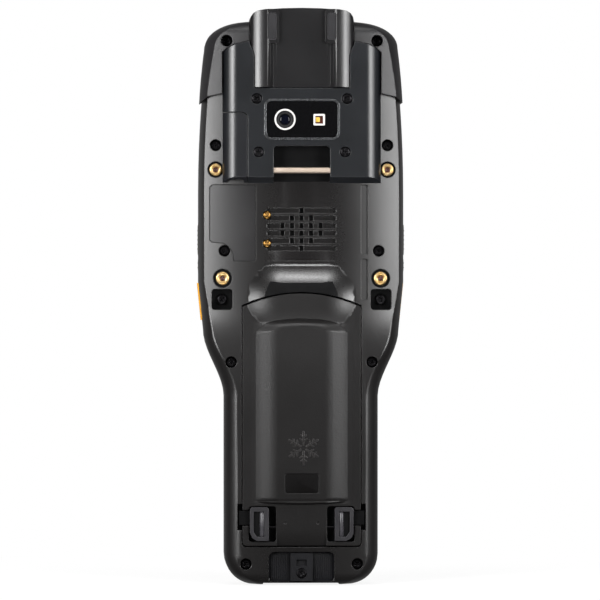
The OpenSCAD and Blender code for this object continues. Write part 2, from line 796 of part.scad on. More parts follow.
module insert(x, z, r) {
  difference() {
    union() {
      pin(x, z, r, -9.9, -3.4);
      pin(x, z, r - 0.5, -10.1, -9.8);
    }
    pin(x, z, insert_bore_r, -far, -4);
    translate([x, -10.11, z]) rotate([-90, 0, 0])
      cylinder(r1 = insert_bore_r + 0.5, r2 = insert_bore_r, h = 0.5);
  }
}

module upper_inserts() {
  color("gold") both() insert(insert_up_span / 2, 154.6, insert_up_r);
}

module lower_inserts() {
  color("gold") both() insert(insert_low_span / 2, 114.15, insert_low_r);
}

module accessory_contacts() {
  color("gold") for (z = [127.1, 137.7]) union() {
    pin(-12.9, z, 1.6, -10.3, -6.9);
    pin(-12.9, z, 2.2, -6.9, -6.1);
  }
}

module speaker() {
  color("black") difference() {
    pin(0, 132.4, 9.6, -6.9, -3.2);
    pin(0, 132.4, 8.2, -far, -6.2);
  }
}

// Boards and inner parts

module main_board() {
  color("darkgreen") difference() {
    union() {
      block(-24.4, 24.4, 6.6, 7.7, 113.5, 196);
      block(-14, 6, 7.6, 9.6, 128, 146);
      block(8, 20, 7.6, 9.2, 150, 164);
      block(-8, 12, 4.4, 6.7, 150, 172);
    }
    for (z = [130, 180]) both() pin(21.5, z, 1, -far, far);
  }
}

module battery_connector() {
  color("black") difference() {
    block(-7, 7, floor_y, 6.2, 84.2, 91.8);
    for (i = [-2:2]) block(i * 2.5 - 0.6, i * 2.5 + 0.6, 0, 2, 85.5, 90.5);
  }
}

module display_panel() {
  color("gray") block(-26.9, 26.9, 11.4, glass_y - glass_t, 111.6, 196.9);
}

module display_glass() {
  color("black") plate(0, glass_z, glass_w, glass_z1 - glass_z0, 2.9, glass_y - glass_t, glass_y);
}

module keypad_board() {
  color("green") union() {
    block(-22.4, 22.4, 9.4, 10.2, 26, 99);
    for (c = [-1:1]) for (z = row_z) pin(c * key_dx, z, 2.5, 10.1, 10.55);
  }
}

module dock_connector() {
  color("black") difference() {
    block(-14.2, 14.2, -5.2, 4.4, 1.6, 8.2);
    block(-12, 12, -3.4, 2.6, 0, 6.5);
  }
}

module strap_block() {
  color("dimgray") difference() {
    block(-4.1, 4.1, -10.2, -8.2, 1.4, 11.8);
    block(-2, 2, -far, -8.9, 7.1, 9.4);
    pin(0, 4.3, 1.95, -far, -9.4);
    pin(0, 4.3, 0.8, -far, far);
  }
}

module strap_block_screw() {
  color("black") difference() {
    union() {
      pin(0, 4.3, 1.9, -10, -9.4);
      pin(0, 4.3, 0.75, -9.5, -8.2);
    }
    cross_slot(0, 4.3, -10.3, 2.2);
  }
}

module side_switches() {
  color("silver") both() {
    for (b = [[trigger_z, trigger_len, 6], [aux_z, aux_len, 3.4]])
      let (z = b[0] + b[1] / 2, x = half_at(z) - 3.35)
        block(x - 0.8, x, -b[2] * 0.4, b[2] * 0.4, z - b[2] / 2, z + b[2] / 2);
  }
}

// Side buttons

module side_button(z0, len, out) {
  x = half_at(z0 + len / 2);
  h = button_h / 2;
  union() {
    block(x - 1.9, x + out, -h, h, z0, z0 + len);
    block(x - 2.5, x - 1.8, -h, h, z0, z0 + len);
  }
}

module trigger_right() {
  color("black") side_button(trigger_z, trigger_len, 0.4);
}

module trigger_left() {
  color("black") mirror([1, 0, 0]) side_button(trigger_z, trigger_len, 0.4);
}

module aux_right() {
  color("black") side_button(aux_z, aux_len, 0.3);
}

module aux_left() {
  color("black") mirror([1, 0, 0]) side_button(aux_z, aux_len, 0.3);
}

// Battery pack

function hump_rise(x) = let (t = clamp01((abs(x) - hump_flat) / (hump_half - hump_flat)))
  (hump_y - flange_y + 0.3) * (1 - t * t * (3 - 2 * t));

hump_x = [for (f = [1, 0.93, 0.86, 0.78, 0.7, 0.62, 0.54, 0.46, 0.38, 0.3, 0.22, 0.14, 0.07, 0])
  -hump_flat - f * (hump_half - hump_flat), -hump_flat / 2, 0];

// End blend of the hump: [height at the middle, share of the full rise, arc drop at the foot],
// where a share below zero is the depth in mm that it sinks below the flange
hump_stations = [
  [29.9, 0, 0.9], [30.15, 0.45, 0.9], [30.6, 0.8, 0.9], [31.4, 0.97, 0.9], [32.4, 1, 0.9], [62, 1, 0],
  [93.4, 1, -2.3], [95, 0.995, -2.4], [95.6, 0.96, -2.5], [96.1, 0.88, -2.5], [96.7, 0.72, -2.5],
  [97.5, 0.42, -2.5], [98.4, 0, -2.5], [99.6, -2.2, -2.4], [100.8, -4, -2.3], [101.8, -5, -2.2]
];

function hump_ring(s) = let (
    xs = concat(hump_x, [for (i = [len(hump_x) - 2:-1:0]) -hump_x[i]]),
    sink = 0.3 + max(0, -s[1]),
    top = [for (x = xs)
      [x, -flange_y + sink - max(0, s[1]) * hump_rise(x), s[0] + s[2] * pow(x / hump_half, 2)]]
  ) concat([[-hump_half, -4, s[0] + s[2]]], top, [[hump_half, -4, s[0] + s[2]]]);

module battery_case() {
  color("dimgray") difference() {
    union() {
      difference() {
        slab(-flange_y, 0.5) batt_outline();
        thumb_dish();
      }
      skin([for (s = hump_stations) hump_ring(s)]);
    }
    block(-16.2, 16.2, -10.1, -1.2, 33.4, 92);
    // draft on the lower end, for the swing
    across(-far, far) polygon([[-8, 10], [-8, batt_z0], [1, batt_z0 + 1.6], [1, 10]]);
    // latch pockets, bolt slots and the rod's bore
    both() {
      plate(14.6, 22.7, 10.2, 13.2, 1, -far, -7.3);
      block(19, 23, -far, -7.8, 22, 28);
    }
    translate([-19.95, -9.4, 21.4]) rotate([0, 90, 0]) cylinder(r = 0.55, h = 39.9);
    // sloped lower face between the pockets
    across(-9.2, 9.2) polygon([[-14, 10], [-14, 20.4], [-flange_y, 20.4], [-9.6, batt_z0], [-9.6, 10]]);
    // bare field below the emblem
    plate(0, 37.9, 12.6, 7.4, 0.4, -far, -hump_y + 0.3);
    // contact pads
    for (i = [-2:2]) block(i * 2.5 - 0.8, i * 2.5 + 0.8, 0.1, 1, 85.6, 90.4);
    // index dots
    both() pin(6.1, 23.1, 0.45, -far, -flange_y + 0.3);
  }
}

module battery_cell() {
  color("steelblue") block(-16, 16, -9.9, -1.2, 33.6, 91.8);
}

module battery_contacts() {
  color("gold") for (i = [-2:2]) block(i * 2.5 - 0.8, i * 2.5 + 0.8, 0.1, 0.45, 85.6, 90.4);
}

module latch_rod() {
  color("silver") translate([-19.95, -9.4, 21.4]) rotate([0, 90, 0]) cylinder(r = 0.55, h = 39.9);
}

module latch() {
  difference() {
    union() {
      slab(-12.3, -7.6) polygon([
        [12.3, 16.5], [16.6, 16.5], [18.4, 17.5], [19.25, 19.4], [19.25, 28.3], [18.6, 28.95],
        [12.9, 28.95], [12.3, 28.3]
      ]);
      block(18.9, 23.3, -10.2, -8.15, 22.4, 27.6);
    }
    slab(-far, -11.4) polygon([[13.9, 18], [16.6, 18], [17.9, 19.8], [17.9, 27.4], [13.9, 27.4]]);
    translate([10, -9.4, 21.4]) rotate([0, 90, 0]) cylinder(r = 0.62, h = 12);
  }
}

module latch_right() {
  color("silver") latch();
}

module latch_left() {
  color("silver") mirror([1, 0, 0]) latch();
}

// Keys, counted from the keypad side, where +X is on the left

module key(c, r, w = key_w, h = key_h, rad = 2.4) {
  union() {
    plate(-c * key_dx, row_z[r], w, h, rad, 12.4, 15.7);
    plate(-c * key_dx, row_z[r], w - 1.2, h - 1.2, rad - 0.5, 15.6, 16);
    plate(-c * key_dx, row_z[r], key_w + 1.5, key_h + 1.5, 2.8, 11.8, 12.7);
    pin(-c * key_dx, row_z[r], 2, 11.45, 11.9);
  }
}

module key_left() {
  color("white") key(-1, 4);
}

module key_scan() {
  color("orange") key(0, 4);
}

module key_right() {
  color("white") key(1, 4);
}

module key_1() {
  color("white") key(-1, 3);
}

module key_2() {
  color("white") key(0, 3);
}

module key_3() {
  color("white") key(1, 3);
}

module key_4() {
  color("white") key(-1, 2);
}

module key_5() {
  color("white") key(0, 2);
}

module key_6() {
  color("white") key(1, 2);
}

module key_7() {
  color("white") key(-1, 1);
}

module key_8() {
  color("white") key(0, 1);
}

module key_9() {
  color("white") key(1, 1);
}

module key_star() {
  color("white") key(-1, 0);
}

module key_0() {
  color("white") key(0, 0);
}

module key_hash() {
  color("white") key(1, 0);
}

rear_housing();
front_housing();
accent_trims();
top_bumper();
scanner_hood();
hood_pads();
scanner_window();
scan_engine();
module_cover();
module_screws();
window_bezel();
camera_window();
lens_ring();
camera_unit();
flash_frame();
flash_lamp();
strap_bar();
card_door();
card_socket();
label_plate();
upper_inserts();
lower_inserts();
housing_screws();
accessory_contacts();
speaker();
main_board();
battery_connector();
strap_block();
strap_block_screw();
dock_connector();
side_switches();
display_glass();
display_panel();
keypad_board();
battery_case();
battery_cell();
battery_contacts();
latch_rod();
latch_left();
latch_right();
trigger_left();
trigger_right();
aux_left();
aux_right();
key_scan();
key_left();
key_right();
key_1();
key_2();
key_3();
key_4();
key_5();
key_6();
key_7();
key_8();
key_9();
key_star();
key_0();
key_hash();
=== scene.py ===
import json
import math

import bmesh
import bpy
from mathutils import Matrix, Vector


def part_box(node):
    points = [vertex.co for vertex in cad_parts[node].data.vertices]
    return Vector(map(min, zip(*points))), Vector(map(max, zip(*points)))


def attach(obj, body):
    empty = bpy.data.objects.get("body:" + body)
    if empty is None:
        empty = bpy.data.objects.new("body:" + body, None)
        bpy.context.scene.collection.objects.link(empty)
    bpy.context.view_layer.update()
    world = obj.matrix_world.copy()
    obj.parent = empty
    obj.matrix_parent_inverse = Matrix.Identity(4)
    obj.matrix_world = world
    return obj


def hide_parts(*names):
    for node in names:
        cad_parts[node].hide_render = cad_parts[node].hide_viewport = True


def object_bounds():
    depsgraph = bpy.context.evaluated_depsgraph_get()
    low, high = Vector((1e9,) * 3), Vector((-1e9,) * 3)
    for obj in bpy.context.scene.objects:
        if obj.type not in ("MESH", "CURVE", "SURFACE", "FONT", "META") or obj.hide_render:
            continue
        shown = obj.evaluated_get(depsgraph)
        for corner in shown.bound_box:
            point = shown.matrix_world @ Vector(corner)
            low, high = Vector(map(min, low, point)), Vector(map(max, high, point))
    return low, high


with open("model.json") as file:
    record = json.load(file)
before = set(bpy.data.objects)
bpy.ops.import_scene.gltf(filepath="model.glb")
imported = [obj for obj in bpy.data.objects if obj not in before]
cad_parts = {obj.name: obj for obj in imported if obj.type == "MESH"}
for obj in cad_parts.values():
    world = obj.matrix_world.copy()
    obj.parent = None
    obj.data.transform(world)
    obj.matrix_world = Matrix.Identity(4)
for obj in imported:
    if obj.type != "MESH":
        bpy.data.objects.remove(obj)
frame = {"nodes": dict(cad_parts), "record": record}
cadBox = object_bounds()
mm = 0.001


def linear(shade):
    parts = [int(shade[i:i + 2], 16) / 255 for i in (1, 3, 5)]
    return tuple(c / 12.92 if c <= 0.04045 else ((c + 0.055) / 1.055) ** 2.4 for c in parts) + (1.0,)


def addNode(tree, kind, settings=None, links=None):
    made = tree.nodes.new(kind)
    for key, value in (settings or {}).items():
        if isinstance(key, int) or key in made.inputs:
            made.inputs[key].default_value = value
        else:
            setattr(made, key, value)
    for key, source in (links or {}).items():
        tree.links.new(source, made.inputs[key])
    return made


print("stage: materials")
crown = {"flatMm": 10.0, "fromMm": 84.0, "toMm": 104.0, "bend": 5.0, "polishMm": 26.0}
hump = {"flat": 8.4, "foot": 19.5, "soften": 1.25, "from": (29.9, 31.5), "to": (95.0, 98.4)}
smooth = {"interpolation_type": "SMOOTHSTEP"}
grainDepth = 0.2


def moulded(name, look):
    # a body colour with slow clouds, a moulded grain, and paler edges: rubbed by handling, and on the pads a painted
    # rim highlight
    mat = bpy.data.materials.new(name)
    mat.use_nodes = True
    tree = mat.node_tree
    tree.nodes.clear()
    place = addNode(tree, "ShaderNodeTexCoord").outputs["Object"]
    shape = addNode(tree, "ShaderNodeNewGeometry").outputs["Normal"]
    cloud = addNode(tree, "ShaderNodeTexNoise", {"Scale": 1000 / look["cloudMm"], "Detail": 3.0}, {"Vector": place})
    grain = addNode(tree, "ShaderNodeTexNoise", {"Scale": 1000 / look["grainMm"], "Detail": 2.0, "Roughness": 0.65},
                    {"Vector": place})
    edgeBreakup = addNode(tree, "ShaderNodeTexNoise", {"Scale": 420.0, "Detail": 5.0, "Distortion": 0.8},
                    {"Vector": place})
    edge = addNode(tree, "ShaderNodeBevel", {"samples": 6, "Radius": look["edgeMm"] * mm})
    facing = addNode(tree, "ShaderNodeVectorMath", {"operation": "DOT_PRODUCT"}, {0: edge.outputs[0], 1: shape})
    rim = addNode(tree, "ShaderNodeMapRange", {"From Min": 0.995, "From Max": 0.8, "To Min": 0.0, "To Max": 1.0},
                  {"Value": facing.outputs["Value"]})
    # paler edge colour: rubbing from handling, and on the pads painted highlight
    edgeWearAndRimLight = addNode(tree, "ShaderNodeMath", {"operation": "MULTIPLY", "use_clamp": True},
                   {0: rim.outputs[0], 1: edgeBreakup.outputs["Fac"]})
    edgeWearAndRimLightShare = addNode(tree, "ShaderNodeMath", {"operation": "MULTIPLY", 1: look["edgeWearAndRimLightShare"]}, {0: edgeWearAndRimLight.outputs[0]})
    spread = addNode(tree, "ShaderNodeMapRange", {"From Min": 0.3, "From Max": 0.7}, {"Value": cloud.outputs["Fac"]})
    body = addNode(tree, "ShaderNodeMix", {"data_type": "RGBA", 6: linear(look["colour"]), 7: linear(look["cloud"])},
                   {0: spread.outputs[0]})
    skin = addNode(tree, "ShaderNodeMix", {"data_type": "RGBA", 7: linear(look["edgeWearAndRimLight"])},
                   {0: edgeWearAndRimLightShare.outputs[0], 6: body.outputs[2]})
    mix = addNode(tree, "ShaderNodeMath", {"operation": "ADD"}, {0: cloud.outputs["Fac"], 1: grain.outputs["Fac"]})
    rough = addNode(tree, "ShaderNodeMapRange", {"From Min": 0.6, "From Max": 1.4, "To Min": look["rough"][0],
                    "To Max": look["rough"][1]}, {"Value": mix.outputs[0]})
    apart = addNode(tree, "ShaderNodeSeparateXYZ", None, {0: place})
    side = addNode(tree, "ShaderNodeMath", {"operation": "ABSOLUTE"}, {0: apart.outputs["X"]})
    if look.get("polish"):
        # handling has polished the middle of the back
        shine = addNode(tree, "ShaderNodeMapRange", {**smooth, "From Min": 0.0, "From Max": crown["polishMm"] * mm,
                        "To Min": -look["polish"], "To Max": 0.0}, {"Value": side.outputs[0]})
        rough = addNode(tree, "ShaderNodeMath", {"operation": "ADD"}, {0: rough.outputs[0], 1: shine.outputs[0]})
    under = edge.outputs[0]
    if look.get("crown"):
        # the back is very slightly barrelled: flat in the middle, falling away to both flanks of the head
        over = addNode(tree, "ShaderNodeMath", {"operation": "SUBTRACT", 1: crown["flatMm"] * mm},
                       {0: side.outputs[0]})
        past = addNode(tree, "ShaderNodeMath", {"operation": "MAXIMUM", 1: 0.0}, {0: over.outputs[0]})
        square = addNode(tree, "ShaderNodeMath", {"operation": "POWER", 1: 2.0}, {0: past.outputs[0]})
        head = addNode(tree, "ShaderNodeMapRange", {**smooth, "From Min": crown["fromMm"] * mm,
                       "From Max": crown["toMm"] * mm, "To Min": 0.0, "To Max": -crown["bend"]},
                       {"Value": apart.outputs["Z"]})
        height = addNode(tree, "ShaderNodeMath", {"operation": "MULTIPLY"},
                         {0: square.outputs[0], 1: head.outputs[0]})
        under = addNode(tree, "ShaderNodeBump", {"Strength": 1.0, "Distance": 1.0},
                        {"Height": height.outputs[0], "Normal": edge.outputs[0]}).outputs[0]
    if look.get("hump"):
        # the long hump is blended into its flanges: softer in the light than its solid is in section
        level = addNode(tree, "ShaderNodeMapRange", {**smooth, "From Min": hump["flat"] * mm,
                        "From Max": hump["foot"] * mm, "To Min": -hump["soften"] * mm, "To Max": 0.0},
                        {"Value": side.outputs[0]})
        for z, ends in zip((hump["from"], hump["to"]), ((0.0, 1.0), (1.0, 0.0))):
            fade = addNode(tree, "ShaderNodeMapRange", {**smooth, "From Min": z[0] * mm, "From Max": z[1] * mm,
                           "To Min": ends[0], "To Max": ends[1]}, {"Value": apart.outputs["Z"]})
            level = addNode(tree, "ShaderNodeMath", {"operation": "MULTIPLY"},
                            {0: level.outputs[0], 1: fade.outputs[0]})
        under = addNode(tree, "ShaderNodeBump", {"Strength": 1.0, "Distance": 1.0},
                        {"Height": level.outputs[0], "Normal": edge.outputs[0]}).outputs[0]
    bump = addNode(tree, "ShaderNodeBump", {"Strength": look["grainShare"],
                   "Distance": look["grainMm"] * grainDepth * mm}, {"Height": grain.outputs["Fac"], "Normal": under})
    shader = addNode(tree, "ShaderNodeBsdfPrincipled", {"IOR": look.get("ior", 1.5),
                     "Metallic": look.get("metal", 0.0), "Specular IOR Level": look.get("spec", 0.5)},
                     {"Base Color": skin.outputs[2], "Roughness": rough.outputs[0], "Normal": bump.outputs[0]})
    addNode(tree, "ShaderNodeOutputMaterial", None, {"Surface": shader.outputs[0]})
    return mat


finish = {
    # polycarbonate and ABS blend, spark-eroded mould: soft sheen, grain just visible up close
    "rearShell": moulded("moulded polycarbonate back shell", {"colour": "#0e0c0c", "cloud": "#110f0f",
        "edgeWearAndRimLight": "#3d3b3a", "cloudMm": 30, "grainMm": 0.7, "grainShare": 0.05, "edgeMm": 0.35, "edgeWearAndRimLightShare": 0.25,
        "rough": (0.29, 0.35), "ior": 1.64, "crown": True, "polish": 0.09}),
    # the same blend on the keypad side: a little duller, its grain plain to see
    "frontShell": moulded("moulded polycarbonate front shell", {"colour": "#1c1b1b", "cloud": "#222120",
        "edgeWearAndRimLight": "#4a4847", "cloudMm": 30, "grainMm": 0.7, "grainShare": 0.4, "edgeMm": 0.35, "edgeWearAndRimLightShare": 0.3,
        "rough": (0.36, 0.48)}),
    # thermoplastic rubber overmould: a drier, greyer sheen than the shell beside it
    "bumper": moulded("moulded rubber bumper", {"colour": "#1a191b", "cloud": "#201f21", "edgeWearAndRimLight": "#4a484a",
        "cloudMm": 22, "grainMm": 0.8, "grainShare": 0.18, "edgeMm": 0.5, "edgeWearAndRimLightShare": 0.4, "rough": (0.36, 0.44),
        "ior": 1.55, "crown": True}),
    # glass-filled nylon, cooler grey than the shell
    "module": moulded("glass-filled nylon camera cover", {"colour": "#121417", "cloud": "#16181c", "edgeWearAndRimLight": "#45474c",
        "cloudMm": 18, "grainMm": 0.6, "grainShare": 0.08, "edgeMm": 0.35, "edgeWearAndRimLightShare": 0.35, "rough": (0.27, 0.33),
        "ior": 1.62}),
    # polycarbonate, the smoothest moulding: dark, with long clear highlights
    "hood": moulded("polycarbonate scan hood", {"colour": "#0b0a0c", "cloud": "#100f11", "edgeWearAndRimLight": "#4a4746",
        "cloudMm": 18, "grainMm": 0.6, "grainShare": 0.06, "edgeMm": 0.06, "edgeWearAndRimLightShare": 0.3, "rough": (0.27, 0.33),
        "ior": 1.66}),
    # glass-filled nylon again, to match the camera cover beside it
    "door": moulded("glass-filled nylon card door", {"colour": "#141518", "cloud": "#18191d", "edgeWearAndRimLight": "#46474c",
        "cloudMm": 18, "grainMm": 0.6, "grainShare": 0.08, "edgeMm": 0.3, "edgeWearAndRimLightShare": 0.3, "rough": (0.27, 0.33),
        "ior": 1.6}),
    # battery pack shell: the coarsest grain on the object, it catches light as a fine sparkle
    "battery": moulded("spark-textured battery shell", {"colour": "#0d0b0b", "cloud": "#110f0f", "edgeWearAndRimLight": "#3c3938",
        "cloudMm": 26, "grainMm": 0.75, "grainShare": 0.22, "edgeMm": 0.35, "edgeWearAndRimLightShare": 0.25, "rough": (0.34, 0.4),
        "hump": True}),
    # acetal: waxy, a shade paler, its edges rubbed bright
    "latch": moulded("acetal latch", {"colour": "#262528", "cloud": "#2d2c2f", "edgeWearAndRimLight": "#68666a", "cloudMm": 9,
        "grainMm": 0.6, "grainShare": 0.25, "edgeMm": 0.3, "edgeWearAndRimLightShare": 0.6, "rough": (0.3, 0.42)}),
    # polyester film: flat, with the soft sheen of the shell round it
    "label": moulded("satin polyester film", {"colour": "#1b1a1b", "cloud": "#201f20", "edgeWearAndRimLight": "#454443",
        "cloudMm": 14, "grainMm": 0.5, "grainShare": 0.06, "edgeMm": 0.1, "edgeWearAndRimLightShare": 0.2, "rough": (0.31, 0.37),
        "crown": True, "polish": 0.09}),
    # soft rubber, dull in the middle; its pale rim is a painted highlight
    "pad": moulded("soft rubber pad", {"colour": "#1a191c", "cloud": "#201f22", "edgeWearAndRimLight": "#a5a3a8", "cloudMm": 6,
        "grainMm": 0.5, "grainShare": 0.3, "edgeMm": 0.3, "edgeWearAndRimLightShare": 1.0, "rough": (0.4, 0.5)}),
    # silicone: a matt warm grey
    "button": moulded("silicone side button", {"colour": "#3a3a38", "cloud": "#42423f", "edgeWearAndRimLight": "#6c6c68",
        "cloudMm": 6, "grainMm": 0.5, "grainShare": 0.4, "edgeMm": 0.4, "edgeWearAndRimLightShare": 0.3, "rough": (0.45, 0.58)}),
    # plain nylon: dark grey with its light spread wide
    "blackPart": moulded("black nylon insert part", {"colour": "#121113", "cloud": "#18171a", "edgeWearAndRimLight": "#3c3b3e",
        "cloudMm": 6, "grainMm": 0.5, "grainShare": 0.3, "edgeMm": 0.2, "edgeWearAndRimLightShare": 0.3, "rough": (0.4, 0.52)}),
    # amber thermoplastic rubber, soft and slightly waxy
    "amber": moulded("amber rubber trim", {"colour": "#f0a500", "cloud": "#f6b21c", "edgeWearAndRimLight": "#ffd98a", "cloudMm": 9,
        "grainMm": 0.6, "grainShare": 0.3, "edgeMm": 0.4, "edgeWearAndRimLightShare": 0.5, "rough": (0.4, 0.52)}),
    # silicone keys: chalky, with a broad soft sheen
    "keyLight": moulded("pale silicone key", {"colour": "#c9c7c2", "cloud": "#d2d0cb", "edgeWearAndRimLight": "#e8e6e1",
        "cloudMm": 7, "grainMm": 0.5, "grainShare": 0.3, "edgeMm": 0.5, "edgeWearAndRimLightShare": 0.4, "rough": (0.44, 0.56)}),
    "keyAmber": moulded("amber silicone key", {"colour": "#eaa012", "cloud": "#f1ac2a", "edgeWearAndRimLight": "#ffd078",
        "cloudMm": 7, "grainMm": 0.5, "grainShare": 0.3, "edgeMm": 0.5, "edgeWearAndRimLightShare": 0.4, "rough": (0.44, 0.56)}),
    # print: flat and dark on the pale cap
    "keyInk": moulded("printed key legend", {"colour": "#232326", "cloud": "#29292c", "edgeWearAndRimLight": "#48484a", "cloudMm": 4,
        "grainMm": 0.4, "grainShare": 0.2, "edgeMm": 0.05, "edgeWearAndRimLightShare": 0.3, "rough": (0.45, 0.55)}),
    # turned brass, bright on the rim and darker with handling
    "brass": moulded("turned brass", {"colour": "#e6c894", "cloud": "#cda35e", "edgeWearAndRimLight": "#f6dcae", "cloudMm": 2.2,
        "grainMm": 0.4, "grainShare": 0.25, "edgeMm": 0.1, "edgeWearAndRimLightShare": 0.6, "rough": (0.3, 0.42), "metal": 1.0}),
    # plating: deeper and glossier than the brass
    "gold": moulded("gold-plated contact", {"colour": "#9a7540", "cloud": "#7c5a2c", "edgeWearAndRimLight": "#cfae74",
        "cloudMm": 1.6, "grainMm": 0.3, "grainShare": 0.15, "edgeMm": 0.2, "edgeWearAndRimLightShare": 0.8, "rough": (0.2, 0.32),
        "metal": 1.0}),
    # satin steel: a pale bar with one broad highlight
    "steel": moulded("satin stainless steel", {"colour": "#dccbbb", "cloud": "#d0bfae", "edgeWearAndRimLight": "#efe4d8",
        "cloudMm": 5, "grainMm": 0.35, "grainShare": 0.3, "edgeMm": 0.2, "edgeWearAndRimLightShare": 0.5, "rough": (0.46, 0.56),
        "metal": 1.0}),
    # aluminium: a thin bright line round the glass
    "bezel": moulded("bright aluminium bezel", {"colour": "#8e9093", "cloud": "#7f8184", "edgeWearAndRimLight": "#f4f4f4",
        "cloudMm": 6, "grainMm": 0.3, "grainShare": 0.15, "edgeMm": 0.15, "edgeWearAndRimLightShare": 0.6, "rough": (0.22, 0.32),
        "metal": 1.0}),
    # black oxide on steel: nearly black with a hard bright glint
    "screw": moulded("black oxide screw", {"colour": "#1d1c1e", "cloud": "#151416", "edgeWearAndRimLight": "#77757a", "cloudMm": 2,
        "grainMm": 0.3, "grainShare": 0.3, "edgeMm": 0.12, "edgeWearAndRimLightShare": 0.7, "rough": (0.26, 0.4), "metal": 0.85}),
    # tinned steel: a soft grey mirror
    "shield": moulded("tinned steel", {"colour": "#a9a8a4", "cloud": "#97968f", "edgeWearAndRimLight": "#dcdbd6", "cloudMm": 4,
        "grainMm": 0.4, "grainShare": 0.2, "edgeMm": 0.15, "edgeWearAndRimLightShare": 0.4, "rough": (0.3, 0.45), "metal": 1.0}),
    # solder mask: dark green under a clear sheen
    "board": moulded("solder mask on glass epoxy", {"colour": "#0f3d22", "cloud": "#15492a", "edgeWearAndRimLight": "#3f7a55",
        "cloudMm": 5, "grainMm": 0.5, "grainShare": 0.2, "edgeMm": 0.1, "edgeWearAndRimLightShare": 0.2, "rough": (0.3, 0.42)}),
    # the ribbed pocket at the foot and the field on the battery are moulded duller than their shells
    "recess": moulded("matt nylon recess floor", {"colour": "#0c0c0f", "cloud": "#101014", "edgeWearAndRimLight": "#39383d",
        "cloudMm": 8, "grainMm": 0.5, "grainShare": 0.4, "edgeMm": 0.15, "edgeWearAndRimLightShare": 0.3, "rough": (0.45, 0.58),
        "spec": 0.25}),
    "field": moulded("matt polycarbonate field", {"colour": "#060505", "cloud": "#0a0808", "edgeWearAndRimLight": "#332e2e",
        "cloudMm": 5, "grainMm": 0.45, "grainShare": 0.4, "edgeMm": 0.1, "edgeWearAndRimLightShare": 0.2, "rough": (0.5, 0.62),
        "spec": 0.1}),
    # the shell's plastic, glossier on top and rubbed pale at its edges
    "emblem": moulded("satin polycarbonate emblem", {"colour": "#232121", "cloud": "#2a2828", "edgeWearAndRimLight": "#8a8684",
        "cloudMm": 5, "grainMm": 0.4, "grainShare": 0.1, "edgeMm": 0.12, "edgeWearAndRimLightShare": 0.9, "rough": (0.26, 0.34)}),
    # painted shade: near-black nylon with next to no reflection, laid on faces deep in pockets, notches and round
    # inserts
    "paintedPocketShade": moulded("black nylon with painted shade", {"colour": "#070708", "cloud": "#0a0a0b", "edgeWearAndRimLight": "#1c1c1e",
        "cloudMm": 4, "grainMm": 0.4, "grainShare": 0.2, "edgeMm": 0.1, "edgeWearAndRimLightShare": 0.3, "rough": (0.42, 0.52),
        "spec": 0.12}),
    # polished acetal: one thin highlight down its length
    "latchBar": moulded("polished acetal finger bar", {"colour": "#3a393d", "cloud": "#434246", "edgeWearAndRimLight": "#7c7a7f",
        "cloudMm": 5, "grainMm": 0.4, "grainShare": 0.15, "edgeMm": 0.2, "edgeWearAndRimLightShare": 0.5, "rough": (0.24, 0.34)}),
    # coated front element: deep blue-violet under a hard clear reflection
    "lensGlass": moulded("coated lens glass", {"colour": "#04060e", "cloud": "#080a18", "edgeWearAndRimLight": "#1c2348",
        "cloudMm": 2, "grainMm": 0.4, "grainShare": 0.01, "edgeMm": 0.1, "edgeWearAndRimLightShare": 0.1, "rough": (0.04, 0.07),
        "spec": 0.3}),
    # screen ink: a flat even white
    "whitePrint": moulded("white printed ring", {"colour": "#d9d7d4", "cloud": "#cfcdca", "edgeWearAndRimLight": "#f2f1ef",
        "cloudMm": 3, "grainMm": 0.3, "grainShare": 0.1, "edgeMm": 0.1, "edgeWearAndRimLightShare": 0.3, "rough": (0.35, 0.45)}),
    # blackened metal: its steps only just show
    "lensBlack": moulded("blackened lens barrel", {"colour": "#060607", "cloud": "#09090b", "edgeWearAndRimLight": "#232326",
        "cloudMm": 2, "grainMm": 0.3, "grainShare": 0.2, "edgeMm": 0.06, "edgeWearAndRimLightShare": 0.5, "rough": (0.34, 0.44),
        "spec": 0.2}),
    # copper-brown plastic: a warm glow round the lamp; the same colour is painted shade deep in the insert bores
    "flashWellAndBoreShade": moulded("red-brown flash well and bore shade", {"colour": "#5a2410", "cloud": "#3c140a", "edgeWearAndRimLight": "#8a4a2a",
        "cloudMm": 0.9, "grainMm": 0.2, "grainShare": 0.2, "edgeMm": 0.1, "edgeWearAndRimLightShare": 0.4, "rough": (0.3, 0.4)}),
    # cover glass printed black behind: a deep black with a hard reflection
    "glass": moulded("back-printed cover glass", {"colour": "#050506", "cloud": "#070709", "edgeWearAndRimLight": "#15151a",
        "cloudMm": 20, "grainMm": 0.5, "grainShare": 0.02, "edgeMm": 0.2, "edgeWearAndRimLightShare": 0.2, "rough": (0.05, 0.09),
        "ior": 1.52}),
    # dyed acrylic: red in the depth, a hard reflection on top
    "scanGlass": moulded("deep red scan window", {"colour": "#2a0406", "cloud": "#330508", "edgeWearAndRimLight": "#5a1418",
        "cloudMm": 12, "grainMm": 0.5, "grainShare": 0.02, "edgeMm": 0.2, "edgeWearAndRimLightShare": 0.2, "rough": (0.05, 0.09),
        "ior": 1.49}),
    # phosphor: a flat warm yellow
    "lamp": moulded("phosphor flash lamp", {"colour": "#e3c25a", "cloud": "#d8ad3a", "edgeWearAndRimLight": "#ffe9a8",
        "cloudMm": 1.2, "grainMm": 0.2, "grainShare": 0.2, "edgeMm": 0.1, "edgeWearAndRimLightShare": 0.4, "rough": (0.3, 0.4)}),
    # shrink sleeve: blue, smooth and shiny
    "cell": moulded("shrink-wrapped cell", {"colour": "#24466e", "cloud": "#2b4f79", "edgeWearAndRimLight": "#5b7ca3", "cloudMm": 16,
        "grainMm": 0.6, "grainShare": 0.1, "edgeMm": 0.3, "edgeWearAndRimLightShare": 0.2, "rough": (0.25, 0.35)}),
    # pressed steel: plain grey metal
